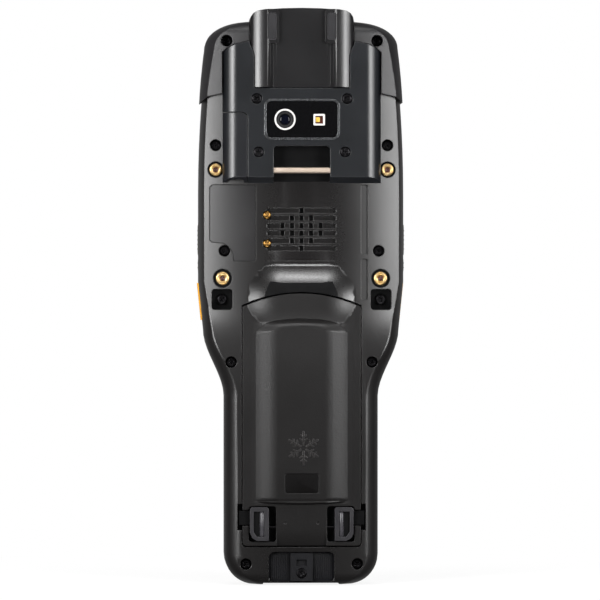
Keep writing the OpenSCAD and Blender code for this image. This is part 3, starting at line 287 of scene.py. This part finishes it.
    "panel": moulded("lcd back plate", {"colour": "#8c8d90", "cloud": "#808185", "edgeWearAndRimLight": "#c0c1c4", "cloudMm": 18,
        "grainMm": 0.6, "grainShare": 0.1, "edgeMm": 0.2, "edgeWearAndRimLightShare": 0.2, "rough": (0.3, 0.42), "metal": 1.0}),
}

nodeBody = {n: body for body, members in frame["record"]["behaviour"]["bodies"].items() for n in members}

wears = {
    "rear_housing": "rearShell", "front_housing": "frontShell", "accent_trims": "amber", "top_bumper": "bumper",
    "scanner_hood": "hood", "hood_pads": "pad", "scanner_window": "scanGlass", "scan_engine": "shield",
    "module_cover": "module", "module_screws": "screw", "window_bezel": "bezel", "camera_window": "glass",
    "lens_ring": "whitePrint", "camera_unit": "blackPart", "flash_frame": "whitePrint", "flash_lamp": "flashWellAndBoreShade",
    "strap_bar": "steel", "card_door": "door", "card_socket": "shield", "label_plate": "label",
    "upper_inserts": "brass", "lower_inserts": "brass", "housing_screws": "screw", "accessory_contacts": "gold",
    "speaker": "blackPart", "main_board": "board", "battery_connector": "blackPart", "strap_block": "recess",
    "strap_block_screw": "screw", "dock_connector": "blackPart", "side_switches": "blackPart",
    "display_glass": "glass", "display_panel": "panel", "keypad_board": "board", "battery_case": "battery",
    "battery_cell": "cell", "battery_contacts": "gold", "latch_rod": "screw", "latch_left": "latch",
    "latch_right": "latch",
    "trigger_left": "button", "trigger_right": "button", "aux_left": "button", "aux_right": "button",
}
for nodeName in frame["nodes"]:
    if nodeName.startswith("key_"):
        wears[nodeName] = "keyAmber" if nodeName == "key_scan" else "keyLight"
for nodeName, obj in frame["nodes"].items():
    for holder in obj.material_slots:
        holder.material = finish[wears[nodeName]]


print("stage: refined shells")
# the hood's dip is depth over distance from the middle in mm, and its limits are in metres
hood = {"dip": {12.2: -15.35, 11.6: -14.75, 11.1: -14.28, 10.6: -13.8, 10.0: -13.8, 9.2: -13.8}, "back": -0.0159,
        "front": -0.0137, "above": 0.18, "padZ": 0.2078, "padHalf": 0.005, "near": 1e-4, "hit": 2e-5,
        "crispX": (0.0105, 0.0131)}
# where the painted shade goes on the housing, battery and latches, in mm
dark = {"latchOuter": 19.26, "boltY": -11.4, "pocketX": (7, 19.4), "pocketZ": (15, 31.5), "pocketFloor": -8.0,
        "pocketWall": -10.85, "rearLip": -10.45, "holes": ((32, 154.6, 3.1), (29.45, 114.15, 3.6)),
        "notchX": (18, 24.5), "notchZ": (15, 33), "deep": -8}
merge = {"gap": 2e-6, "sliver": 1e-6, "flat": 0.4, "crease": 34}


def crisped(work):
    # the hood's columns fall to the centre in one straight slope between two crisp edges
    for vert in work.verts:
        onPad = abs(abs(vert.co.z - hood["padZ"]) - hood["padHalf"]) <= hood["near"]
        if hood["back"] < vert.co.y < hood["front"] and vert.co.z > hood["above"] and not onPad:
            for x, y in hood["dip"].items():
                if abs(abs(vert.co.x) - x * mm) < hood["hit"]:
                    vert.co.y = y * mm


def shaded(nodeName, middle, normal):
    # faces down in a pocket, a bolt notch or round an insert get painted shade
    x, y, z = abs(middle.x) / mm, middle.y / mm, middle.z / mm

    def within(xs, zs):
        return xs[0] < x < xs[1] and zs[0] < z < zs[1]

    if nodeName.startswith("latch_"):
        return x > dark["latchOuter"] or (abs(y - dark["boltY"]) < 0.01 and normal.y < 0)
    if nodeName == "battery_case":
        depth = dark["pocketFloor"] if normal.y < -0.5 else dark["pocketWall"]
        return within(dark["pocketX"], dark["pocketZ"]) and y > depth
    if nodeName == "rear_housing":
        bored = any(math.hypot(x - atX, z - atZ) < reach for atX, atZ, reach in dark["holes"])
        notched = within(dark["notchX"], dark["notchZ"]) and abs(normal.x) < 0.5
        return y > dark["rearLip"] and (bored or notched or (y > dark["deep"] and normal.y < -0.9))
    return False


def refined(nodeName):
    # a merged copy of the solid, smooth where it curves and crisp where it is cut
    work = bmesh.new()
    work.from_mesh(frame["nodes"][nodeName].data)
    bmesh.ops.remove_doubles(work, verts=work.verts, dist=merge["gap"])
    bmesh.ops.dissolve_degenerate(work, dist=merge["sliver"], edges=work.edges)
    if nodeName == "scanner_hood":
        crisped(work)
    bmesh.ops.dissolve_limit(work, angle_limit=math.radians(merge["flat"]), verts=work.verts, edges=work.edges)
    for face in work.faces:
        face.smooth = True
    inner, outer = hood["crispX"]
    for side in work.edges:
        side.smooth = len(side.link_faces) == 2 and side.calc_face_angle() < math.radians(merge["crease"])
        if nodeName == "scanner_hood" and all(inner < abs(v.co.x) < outer and v.co.y < hood["front"]
                                              for v in side.verts):
            side.smooth = False
    # faces that shaded() picks take the painted shade as their second material
    for face in work.faces:
        face.material_index = int(shaded(nodeName, face.calc_center_median(), face.normal))
    mesh = bpy.data.meshes.new(nodeName + "_fine")
    work.to_mesh(mesh)
    work.free()
    mesh.materials.append(finish[wears[nodeName]])
    if any(face.material_index for face in mesh.polygons):
        mesh.materials.append(finish["paintedPocketShade"])
    made = bpy.data.objects.new(nodeName + "_fine", mesh)
    bpy.context.scene.collection.objects.link(made)
    even = made.modifiers.new("even normals", "WEIGHTED_NORMAL")
    even.keep_sharp = True
    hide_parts(nodeName)
    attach(made, nodeBody[nodeName])


for nodeName in ("rear_housing", "front_housing", "top_bumper", "scanner_hood", "module_cover", "card_door",
                 "battery_case", "latch_left", "latch_right", "label_plate", "window_bezel", "camera_window",
                 "strap_block", "hood_pads"):
    refined(nodeName)

print("stage: new pieces")


def finished(work, name, look, crease=38):
    # smooth where it curves, crisp where it turns, normals outwards
    bmesh.ops.remove_doubles(work, verts=work.verts, dist=1e-6)
    bmesh.ops.recalc_face_normals(work, faces=work.faces)
    for face in work.faces:
        face.smooth = True
    for side in work.edges:
        side.smooth = len(side.link_faces) == 2 and side.calc_face_angle() < math.radians(crease)
    mesh = bpy.data.meshes.new(name)
    work.to_mesh(mesh)
    work.free()
    mesh.materials.append(finish[look])
    made = bpy.data.objects.new(name, mesh)
    bpy.context.scene.collection.objects.link(made)
    return made


def stacked(work, rings):
    # a closed skin through a stack of equal loops, given in mm
    loops = [[work.verts.new(Vector(p) * mm) for p in ring] for ring in rings]
    for below, above in zip(loops, loops[1:]):
        for i, here in enumerate(below):
            j = (i + 1) % len(below)
            work.faces.new((here, below[j], above[j], above[i]))
    work.faces.new(loops[0][::-1])
    work.faces.new(loops[-1])


def turned(work, x, z, profile, steps=56):
    # a lathe round the Y axis through (x, z); the profile is (radius, depth)
    stacked(work, [[(x + r * math.cos(math.tau * i / steps), y, z + r * math.sin(math.tau * i / steps))
                    for i in range(steps)] for r, y in profile])


def corners(wide, high, radius, steps=6):
    loop = []
    for quarter, (sx, sz) in enumerate(((1, 1), (-1, 1), (-1, -1), (1, -1))):
        for i in range(steps + 1):
            a = math.pi / 2 * (quarter + i / steps)
            loop.append((sx * (wide / 2 - radius) + radius * math.cos(a),
                         sz * (high / 2 - radius) + radius * math.sin(a)))
    return loop


def block(work, low, high):
    # a plain bar given by two corners in mm
    made = bmesh.ops.create_cube(work, size=1.0)["verts"]
    for vert in made:
        vert.co = Vector([low[k] + (vert.co[k] + 0.5) * (high[k] - low[k]) for k in range(3)]) * mm
    return made


def leaned(work, verts, turn):
    bmesh.ops.rotate(work, verts=verts, cent=Vector((0, 0, 0)), matrix=Matrix.Rotation(turn, 3, "Y"))


def settled(made, body, nodes=()):
    if nodes:
        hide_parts(*nodes)
    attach(made, body)


def plate(name, look, body, spec):
    # a thin rounded plate facing Y, its levels given as (depth, share of the full size)
    work = bmesh.new()
    stacked(work, [[(spec["x"] + a * f, y, spec["z"] + b * f) for a, b in corners(*spec["size"])]
                   for y, f in spec["levels"]])
    settled(finished(work, name, look), body)


turnSeed = 7


def repeated(name, points, template, look, body, turn, nodes=()):
    # the template set on every point, turned by chance about its own axis, as one plain mesh
    mesh = bpy.data.meshes.new(name)
    mesh.from_pydata([Vector(p) * mm for p in points], [], [])
    made = bpy.data.objects.new(name, mesh)
    bpy.context.scene.collection.objects.link(made)
    group = bpy.data.node_groups.new(name + " set", "GeometryNodeTree")
    face = group.interface
    face.new_socket("Points", in_out="INPUT", socket_type="NodeSocketGeometry")
    pieceIn = face.new_socket("Piece", in_out="INPUT", socket_type="NodeSocketObject")
    turnIn = face.new_socket("Largest Turn", in_out="INPUT", socket_type="NodeSocketFloat")
    seedIn = face.new_socket("Seed", in_out="INPUT", socket_type="NodeSocketInt")
    finishIn = face.new_socket("Finish", in_out="INPUT", socket_type="NodeSocketMaterial")
    face.new_socket("Geometry", in_out="OUTPUT", socket_type="NodeSocketGeometry")
    given = addNode(group, "NodeGroupInput")
    model = addNode(group, "GeometryNodeObjectInfo", None, {"Object": given.outputs["Piece"]})
    chance = addNode(group, "FunctionNodeRandomValue", {"data_type": "FLOAT"},
                     {"Max": given.outputs["Largest Turn"], "Seed": given.outputs["Seed"]})
    angles = addNode(group, "ShaderNodeCombineXYZ", None, {"Y": chance.outputs[1]})
    placed = addNode(group, "GeometryNodeInstanceOnPoints", None, {"Points": given.outputs["Points"],
                     "Instance": model.outputs["Geometry"], "Rotation": angles.outputs[0]})
    real = addNode(group, "GeometryNodeRealizeInstances", None, {"Geometry": placed.outputs[0]})
    dressed = addNode(group, "GeometryNodeSetMaterial", None,
                      {"Geometry": real.outputs[0], "Material": given.outputs["Finish"]})
    addNode(group, "NodeGroupOutput", None, {"Geometry": dressed.outputs[0]})
    setting = made.modifiers.new("set", "NODES")
    setting.node_group = group
    setting[pieceIn.identifier] = template
    setting[turnIn.identifier] = turn
    setting[seedIn.identifier] = turnSeed
    setting[finishIn.identifier] = finish[look]
    graph = bpy.context.evaluated_depsgraph_get()
    plain = bpy.data.meshes.new_from_object(made.evaluated_get(graph))
    made.modifiers.clear()
    made.data = plain
    plain.name = name
    bpy.data.objects.remove(template)
    settled(made, body, nodes)


screw = {"head": 1.95, "crown": 0.32, "high": 1.6, "shank": 1.2, "long": 15.5, "cross": 2.5, "arm": 0.5,
         "deep": 0.95}
# what all the screws have in common: shares of the head, and the rim's chamfer in mm
screwShape = {"tip": 0.6, "rimIn": 0.07, "rimDown": 0.12, "crown": ((0.86, 0.5), (0.66, 0.16)), "top": (0.4, 0.01),
              "middle": 0.1, "over": 0.2, "mouth": (1.05, 1.1), "floor": (0.4, 0.55)}


def crossScrew(size):
    # a domed head with a tapered cross recess, lying along Y with its seat at zero
    work = bmesh.new()
    r, top, dome, shank = size["head"], -size["high"], size["crown"], size["shank"]
    flat, fall = screwShape["top"]
    turned(work, 0, 0, [(shank * screwShape["tip"], size["long"]), (shank, size["long"] - 0.6), (shank, 0), (r, 0),
                        (r, top + dome + screwShape["rimDown"]), (r - screwShape["rimIn"], top + dome)]
           + [(r * share, top + dome * high) for share, high in screwShape["crown"]]
           + [(r * flat, top + fall), (r * screwShape["middle"], top)])
    made = finished(work, "screwDraft", "screw")
    work = bmesh.new()
    wide, arm, deep = size["cross"] / 2, size["arm"] / 2, size["deep"]
    ends = ((top - screwShape["over"], *screwShape["mouth"]), (top + deep, *screwShape["floor"]))
    for quarter in (0, 1):
        rings = []
        for y, length, width in ends:
            reach, half = wide * length, arm * width
            ring = [(-reach, y, -half), (reach, y, -half), (reach, y, half), (-reach, y, half)]
            rings.append([(p[2], p[1], -p[0]) for p in ring] if quarter else ring)
        stacked(work, rings)
    cutter = finished(work, "screwCutter", "screw")
    cut = made.modifiers.new("recess", "BOOLEAN")
    cut.object = cutter
    cut.operation = "DIFFERENCE"
    cut.solver = "EXACT"
    cut.use_self = True
    graph = bpy.context.evaluated_depsgraph_get()
    made.data = bpy.data.meshes.new_from_object(made.evaluated_get(graph))
    made.modifiers.clear()
    bpy.data.objects.remove(cutter)
    return made


def centreOf(nodeName):
    low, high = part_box(nodeName)
    return [(a + b) / 2 / mm for a, b in zip(low, high)], [(b - a) / mm for a, b in zip(low, high)]


housing = {"at": [(32, 163.7), (28.7, 124.4), (26.25, 83), (20.75, 7.8), (28, 202.5)], "socket": (29.6, 106.3),
           "seat": -7.0, "socketSeat": -5.5, "coverAt": ((16.8, 180.9), (16.1, 161.1)), "coverSeat": -13.4}
spots = [(s * x, housing["seat"], z) for x, z in housing["at"] for s in (-1, 1)]
spots += [(s * housing["socket"][0], housing["socketSeat"], housing["socket"][1]) for s in (-1, 1)]
repeated("housingScrews", spots, crossScrew(screw), "screw", "terminal", math.tau,
         ("housing_screws",))

cover = {"head": 1.97, "crown": 0.3, "high": 0.92, "shank": 1.0, "long": 2.85, "cross": 2.6, "arm": 0.5,
         "deep": 0.75}
spots = [(s * x, housing["coverSeat"], z) for x, z in housing["coverAt"] for s in (-1, 1)]
repeated("moduleScrews", spots, crossScrew(cover), "screw", "terminal", 1.2, ("module_screws",))

foot = {"head": 1.9, "crown": 0.18, "high": 0.6, "shank": 0.75, "long": 1.15, "cross": 2.3, "arm": 0.45, "deep": 0.5}
repeated("strapBlockScrew", [(0, -9.4, 4.3)], crossScrew(foot), "screw", "terminal", 0.5,
         ("strap_block_screw",))


insert = {"bore": 0.95, "foot": -3.4, "shoulder": -9.3, "lip": -9.5, "lipHigh": 0.6, "thread": (1.05, 0.9),
          "threadZ": (-8.95, -8.8, -8.6), "pitch": 0.55, "turns": 9,
          "shadePlug": [(0.98, -4.2), (0.98, -8.6), (0.9, -8.65), (0.05, -8.4)]}


def brassInserts(name, radius, z, apart, nodeName):
    # a turned insert: rounded lip, countersunk mouth and a threaded bore
    root, crest = insert["thread"]
    work = bmesh.new()
    for side in (-1, 1):
        reach = (radius - insert["bore"]) / 2
        lip = [(radius - reach + reach * math.cos(a), insert["lip"] - insert["lipHigh"] * math.sin(a))
               for a in [math.pi * i / 16 for i in range(17)]]
        profile = [(1.3, insert["foot"]), (radius, insert["foot"]), (radius, insert["shoulder"])] + lip
        profile += [(insert["bore"], insert["shoulder"]), (root, -9.1)]
        for i in range(insert["turns"]):
            profile += [(r, y + i * insert["pitch"]) for r, y in zip((root, crest, root), insert["threadZ"])]
        turned(work, side * apart / 2, z, profile + [(1.02, -4.0)])
    settled(finished(work, name, "brass"), "terminal", (nodeName,))
    # a red-brown disc deep in each bore is painted shade
    work = bmesh.new()
    for side in (-1, 1):
        turned(work, side * apart / 2, z, insert["shadePlug"])
    settled(finished(work, name + "Bore", "flashWellAndBoreShade"), "terminal")


brassInserts("upperInserts", 2.44, 154.6, 64.0, "upper_inserts")
brassInserts("lowerInserts", 2.6, 114.15, 58.9, "lower_inserts")

contact = {"x": -12.9, "at": (127.1, 137.7), "profile": [(2.2, -6.1), (2.2, -6.9), (1.6, -6.9), (1.6, -9.6),
           (1.52, -9.85), (1.3, -10.05), (1.0, -10.17), (0.75, -10.2), (0.62, -10.12), (0.5, -10.2), (0.25, -10.28),
           (0.05, -10.3)]}
work = bmesh.new()
for z in contact["at"]:
    turned(work, contact["x"], z, contact["profile"])
settled(finished(work, "accessoryContacts", "gold"), "terminal", ("accessory_contacts",))

# strap bar, drawn steel with rounded edges; the ends are (distance, share of the section)
bar = {"section": (2.0, 2.3, 0.85), "y": -13.1, "z": 154.3,
       "ends": ((-12.15, 0.8), (-11.9, 1), (11.9, 1), (12.15, 0.8))}
work = bmesh.new()
stacked(work, [[(x, bar["y"] + a * f, bar["z"] + b * f) for a, b in corners(*bar["section"])]
               for x, f in bar["ends"]])
settled(finished(work, "strapBar", "steel"), "terminal", ("strap_bar",))

print("stage: camera and flash")
lens = {"x": -6.3, "z": 173.2, "radius": 2.05, "seat": -12.62, "rim": -12.7, "dome": 0.5, "steps": 12, "crease": 25,
        "barrel": [(3.28, -12.65), (3.28, -13.85), (3.2, -13.97), (3.0, -13.99), (2.84, -13.8), (2.8, -13.5),
                   (2.62, -13.46), (2.58, -13.2), (2.36, -13.16), (2.32, -12.95), (2.1, -12.92), (1.7, -12.9),
                   (1.6, -12.7)]}
work = bmesh.new()
turned(work, lens["x"], lens["z"], lens["barrel"])
settled(finished(work, "lensBarrel", "lensBlack", lens["crease"]), "terminal")
work = bmesh.new()
dome = [(lens["radius"] * math.cos(a), lens["rim"] - lens["dome"] * math.sin(a))
        for a in [math.pi / 2 * i / lens["steps"] for i in range(lens["steps"])]]
turned(work, lens["x"], lens["z"], [(lens["radius"], lens["seat"])] + dome + [(0.02, lens["rim"] - lens["dome"])])
settled(finished(work, "lensGlass", "lensGlass"), "terminal")
chip = {"x": 5.85, "z": 173.15, "size": (1.55, 1.75, 0.2, 3), "levels": ((-13.55, 1), (-13.98, 1), (-14.05, 0.9))}
plate("flashChip", "lamp", "terminal", chip)

print("stage: battery details")
# six arms round the middle, each a stem with two pairs of twigs given as (place on the stem, length)
emblem = {"x": 0.6, "z": 51.0, "reach": 6.4, "face": -13.0, "proud": 0.8, "arms": 6, "stem": 0.42, "hub": 0.9,
          "twig": 0.34, "twigs": ((2.5, 1.9), (4.1, 1.5)), "lean": 0.9, "soft": 0.12, "softSteps": 2,
          "softAngle": 30}
work = bmesh.new()
for arm in range(emblem["arms"]):
    low, high = emblem["face"] - emblem["proud"], emblem["face"]
    made = block(work, (-emblem["stem"], low, emblem["hub"]), (emblem["stem"], high, emblem["reach"]))
    for along, reach in emblem["twigs"]:
        for side in (-1, 1):
            twig = block(work, (-emblem["twig"], low, 0), (emblem["twig"], high, reach))
            leaned(work, twig, side * emblem["lean"])
            bmesh.ops.translate(work, verts=twig, vec=Vector((0, 0, along * mm)))
            made = made + twig
    leaned(work, made, math.tau * arm / emblem["arms"])
bmesh.ops.translate(work, verts=work.verts, vec=Vector((emblem["x"], 0, emblem["z"])) * mm)
made = finished(work, "batteryEmblem", "emblem")
edges = made.modifiers.new("soft edges", "BEVEL")
edges.width = emblem["soft"] * mm
edges.segments = emblem["softSteps"]
edges.limit_method = "ANGLE"
edges.angle_limit = math.radians(emblem["softAngle"])
even = made.modifiers.new("even normals", "WEIGHTED_NORMAL")
even.keep_sharp = True
settled(made, "battery")

field = {"x": 0, "z": 37.9, "size": (12.3, 7.1, 0.9, 4), "levels": ((-13.28, 1), (-13.36, 1), (-13.38, 0.99))}
plate("batteryField", "field", "battery", field)

# each latch has a round finger bar down its inner side; the levels are (height, radius)
fingerBar = {"x": 14.75, "y": -11.35, "flat": 0.9, "steps": 32,
             "levels": ((18.0, 0.3), (18.15, 0.7), (18.5, 0.92), (26.7, 0.92), (27.1, 0.72), (27.3, 0.3))}
for side, name, body in ((-1, "latchBarLeft", "latch_left"), (1, "latchBarRight", "latch_right")):
    work = bmesh.new()
    around = [math.tau * i / fingerBar["steps"] for i in range(fingerBar["steps"])]
    stacked(work, [[(side * fingerBar["x"] + r * math.cos(a),
                     fingerBar["y"] + fingerBar["flat"] * r * math.sin(a), z) for a in around]
                   for z, r in fingerBar["levels"]])
    settled(finished(work, name, "latchBar"), body)

# fine ribs on the floor of the bottom recess, on a dull liner
liner = {"x": 0, "z": 6.6, "size": (24.3, 11.1, 2.0), "levels": ((-8.19, 1), (-8.27, 1), (-8.3, 0.995))}
plate("recessLiner", "recess", "terminal", liner)
ribs = {"low": (-0.17, -0.3, 0), "high": (0.17, 0.05, 9.6), "first": 4.9, "pitch": 0.78, "count": 9, "y": -8.3,
        "z": 2.2}
work = bmesh.new()
block(work, ribs["low"], ribs["high"])
template = finished(work, "ribDraft", "blackPart")
spots = [(side * (ribs["first"] + ribs["pitch"] * i), ribs["y"], ribs["z"])
         for side in (-1, 1) for i in range(ribs["count"])]
repeated("recessRibs", spots, template, "recess", "terminal", 0.0)

print("stage: side buttons")
# the levels are (distance behind the outer face, inset)
cap = {"radius": 1.2, "levels": ((0.75, 0.0), (0.45, 0.08), (0.25, 0.28), (0.14, 0.6), (0.1, 1.1)), "tall": 8,
       "ribs": (5, 2), "ribPitch": 1.7, "ribDeep": 0.3, "ribShare": 0.28, "ribHalf": 0.25}
for nodeName in ("trigger_left", "trigger_right", "aux_left", "aux_right"):
    (cx, cy, cz), (dx, dy, dz) = centreOf(nodeName)
    side = 1 if cx > 0 else -1
    inner, outer = cx - side * dx / 2, cx + side * dx / 2
    rings = [(inner, 0.0)] + [(outer - side * back, inset) for back, inset in cap["levels"]]
    work = bmesh.new()
    stacked(work, [[(x, cy + a * (1 - 2 * inset / dy), cz + b * (1 - 2 * inset / dz))
                    for a, b in corners(dy, dz, cap["radius"])] for x, inset in rings])
    count = cap["ribs"][0] if dz > cap["tall"] else cap["ribs"][1]
    low, high = sorted((outer - side * cap["ribDeep"], outer))
    for i in range(count):
        z = cz + (i - (count - 1) / 2) * cap["ribPitch"]
        block(work, (low, cy - dy * cap["ribShare"], z - cap["ribHalf"]),
              (high, cy + dy * cap["ribShare"], z + cap["ribHalf"]))
    settled(finished(work, nodeName + "Cap", "button"), nodeName, (nodeName,))

print("stage: keypad")
# the levels are (inset, height)
keys = {"levels": ((0, 11.8), (0, 12.5), (0.15, 12.68), (0.75, 12.7), (0.77, 14.9), (0.84, 15.25), (1.02, 15.5),
                   (1.3, 15.69), (1.7, 15.81), (2.4, 15.88), (3.4, 15.93), (4.6, 15.97)),
        "radius": 2.9, "tight": 0.5, "stem": [(1.9, 11.45), (2.0, 11.5), (2.0, 11.85)], "stemSteps": 32,
        "crease": 50, "ink": 15.985, "inkDeep": 0.03, "inkSteps": 8, "sign": 5.4, "star": 7.5}


def keyCap(nodeName, look):
    # a crowned cap on a wider flange that keeps it in the shell
    (cx, _, cz), (wide, _, high) = centreOf(nodeName)
    work = bmesh.new()
    turned(work, cx, cz, keys["stem"], keys["stemSteps"])
    stacked(work, [[(cx + a, y, cz + b) for a, b in corners(wide - 2 * inset, high - 2 * inset,
                    max(keys["radius"] - inset, keys["tight"]))] for inset, y in keys["levels"]])
    settled(finished(work, nodeName + "Cap", look, keys["crease"]), nodeName, (nodeName,))


def keyLegend(nodeName, word, sizeMm):
    # printed sign, set flat on the crown and read from the keypad side
    cx, _, cz = centreOf(nodeName)[0]
    curve = bpy.data.curves.new(nodeName + "Ink", "FONT")
    curve.body = word
    curve.size = sizeMm * mm
    curve.extrude = keys["inkDeep"] * mm
    curve.resolution_u = keys["inkSteps"]
    draft = bpy.data.objects.new(nodeName + "Ink", curve)
    bpy.context.scene.collection.objects.link(draft)
    graph = bpy.context.evaluated_depsgraph_get()
    mesh = bpy.data.meshes.new_from_object(draft.evaluated_get(graph))
    bpy.data.objects.remove(draft)
    xs = [vert.co.x for vert in mesh.vertices]
    ys = [vert.co.y for vert in mesh.vertices]
    mx, my = (min(xs) + max(xs)) / 2, (min(ys) + max(ys)) / 2
    mesh.transform(Matrix(((-1, 0, 0, cx * mm + mx), (0, 0, 1, (keys["ink"] - keys["inkDeep"]) * mm),
                           (0, 1, 0, cz * mm - my), (0, 0, 0, 1))))
    mesh.materials.clear()
    mesh.materials.append(finish["keyInk"])
    made = bpy.data.objects.new(nodeName + "Ink", mesh)
    bpy.context.scene.collection.objects.link(made)
    settled(made, nodeName)


signs = {"key_left": "<", "key_scan": "O", "key_right": ">", "key_star": "*", "key_hash": "#"}
for nodeName in sorted(frame["nodes"]):
    if nodeName.startswith("key_"):
        amber = nodeName == "key_scan"
        keyCap(nodeName, "keyAmber" if amber else "keyLight")
        size = keys["star"] if nodeName == "key_star" else keys["sign"]
        keyLegend(nodeName, signs.get(nodeName, nodeName.removeprefix("key_")), size)

print("stage: studio")
studio = {"cameraBack": 2.0, "frameWide": 0.225, "azimuth": -2.0, "aim": (-0.0001, 0.004, 0.1061), "sensor": 36,
          "clipEnd": 20, "fill": 0.1, "paper": 1.0, "glossFrom": 0.1, "glossTo": 0.5, "glossLevel": 0.15}

camData = bpy.data.cameras.new("camera")
camData.sensor_width = studio["sensor"]
camData.lens = studio["sensor"] * studio["cameraBack"] / studio["frameWide"]
camData.clip_end = studio["clipEnd"]
cam = bpy.data.objects.new("camera", camData)
bpy.context.scene.collection.objects.link(cam)
turn = math.radians(studio["azimuth"])
aim = Vector(studio["aim"])
cam.location = aim + studio["cameraBack"] * Vector((math.sin(turn), -math.cos(turn), 0))
cam.rotation_euler = (aim - cam.location).to_track_quat("-Z", "Y").to_euler()
bpy.context.scene.camera = cam

world = bpy.data.worlds.new("studio")
bpy.context.scene.world = world
world.use_nodes = True
air = world.node_tree
air.nodes.clear()
ray = addNode(air, "ShaderNodeLightPath")
soft = addNode(air, "ShaderNodeBackground", {"Color": linear("#ffffff"), "Strength": studio["fill"]})
white = addNode(air, "ShaderNodeBackground", {"Color": linear("#ffffff"), "Strength": studio["paper"]})
# gloss sees the paper only where it hangs, behind the object, and weakly, so that the flanks stay dark
sky = addNode(air, "ShaderNodeTexCoord").outputs["Generated"]
toward = addNode(air, "ShaderNodeSeparateXYZ", None, {0: sky})
hung = addNode(air, "ShaderNodeMapRange", {**smooth, "From Min": studio["glossFrom"], "From Max": studio["glossTo"],
               "To Min": 0.0, "To Max": studio["glossLevel"]}, {"Value": toward.outputs["Y"]})
gloss = addNode(air, "ShaderNodeMath", {"operation": "MULTIPLY"},
                {0: ray.outputs["Is Glossy Ray"], 1: hung.outputs[0]})
clear = addNode(air, "ShaderNodeMath", {"operation": "MAXIMUM"},
                {0: ray.outputs["Is Transmission Ray"], 1: gloss.outputs[0]})
seen = addNode(air, "ShaderNodeMath", {"operation": "MAXIMUM"},
               {0: ray.outputs["Is Camera Ray"], 1: clear.outputs[0]})
pick = addNode(air, "ShaderNodeMixShader", None, {0: seen.outputs[0], 1: soft.outputs[0], 2: white.outputs[0]})
addNode(air, "ShaderNodeOutputWorld", None, {"Surface": pick.outputs[0]})

# the paper floor burns out to white away from the object, and keeps a soft shadow close to it
ground = {"reach": 4, "level": -0.0002, "glow": 0.85, "near": 0.05, "far": 0.22}
reach, level = ground["reach"], ground["level"]
mesh = bpy.data.meshes.new("floor")
mesh.from_pydata([(-reach, -reach, level), (reach, -reach, level), (reach, reach, level), (-reach, reach, level)],
                 [], [(0, 1, 2, 3)])
made = bpy.data.objects.new("floor", mesh)
bpy.context.scene.collection.objects.link(made)
mat = bpy.data.materials.new("floor paper")
mat.use_nodes = True
tree = mat.node_tree
tree.nodes.clear()
path = addNode(tree, "ShaderNodeLightPath")
place = addNode(tree, "ShaderNodeTexCoord").outputs["Object"]
fibre = addNode(tree, "ShaderNodeTexNoise", {"Scale": 900.0, "Detail": 3.0}, {"Vector": place})
tone = addNode(tree, "ShaderNodeMix", {"data_type": "RGBA", 6: linear("#f4f4f4"), 7: linear("#ffffff")},
               {0: fibre.outputs["Fac"]})
paper = addNode(tree, "ShaderNodeBsdfDiffuse", {"Roughness": 0.6}, {"Color": tone.outputs[2]})
bright = addNode(tree, "ShaderNodeEmission", {"Color": linear("#ffffff"), "Strength": studio["paper"]})
apart = addNode(tree, "ShaderNodeVectorMath", {"operation": "LENGTH"}, {0: place})
far = addNode(tree, "ShaderNodeMapRange", {**smooth, "From Min": ground["near"], "From Max": ground["far"],
              "To Min": ground["glow"], "To Max": 1.0}, {"Value": apart.outputs["Value"]})
share = addNode(tree, "ShaderNodeMath", {"operation": "MULTIPLY"},
                {0: path.outputs["Is Camera Ray"], 1: far.outputs[0]})
both = addNode(tree, "ShaderNodeMixShader", None, {0: share.outputs[0], 1: paper.outputs[0], 2: bright.outputs[0]})
addNode(tree, "ShaderNodeOutputMaterial", None, {"Surface": both.outputs[0]})
mesh.materials.append(mat)
made.visible_glossy = False

# the box behind the object gives the keypad side its light, and only a trace of gloss to the outline
lamps = {
    "left box": {"at": (-0.47, -0.65, 0.25), "to": (0, 0, 0.15), "size": (0.2, 0.32), "watts": 2.4},
    "left wide box": {"at": (-0.56, -0.62, 0.26), "to": (0, 0, 0.15), "size": (0.5, 0.4), "watts": 3.2},
    "right box": {"at": (0.47, -0.65, 0.25), "to": (0, 0, 0.15), "size": (0.2, 0.32), "watts": 1.9},
    "right wide box": {"at": (0.56, -0.62, 0.26), "to": (0, 0, 0.15), "size": (0.5, 0.4), "watts": 2.6},
    "top box": {"at": (0, -0.5, 0.85), "to": (0, 0, 0.11), "size": (0.6, 0.3), "watts": 2.5},
    "low box": {"at": (0, -0.17, 0.022), "to": (0, -0.01, 0.122), "size": (0.12, 0.03), "watts": 0.006,
                "spread": 30},
    "rear box": {"at": (0, 0.7, 0.75), "to": (0, 0, 0.11), "size": (0.6, 0.6), "watts": 6.3, "glossy": False},
    "rear glint box": {"at": (0, 0.7, 0.75), "to": (0, 0, 0.11), "size": (0.6, 0.6), "watts": 0.7},
}
for name, lamp in lamps.items():
    data = bpy.data.lights.new(name, "AREA")
    data.shape = "RECTANGLE"
    data.size, data.size_y = lamp["size"]
    data.energy = lamp["watts"]
    data.spread = math.radians(lamp.get("spread", 180))
    made = bpy.data.objects.new(name, data)
    bpy.context.scene.collection.objects.link(made)
    made.visible_camera = False
    made.visible_glossy = lamp.get("glossy", True)
    made.location = lamp["at"]
    made.rotation_euler = (Vector(lamp["to"]) - Vector(lamp["at"])).to_track_quat("-Z", "Y").to_euler()

bpy.context.scene.view_settings.view_transform = "Standard"

low, high = cadBox
print("stage: finish")
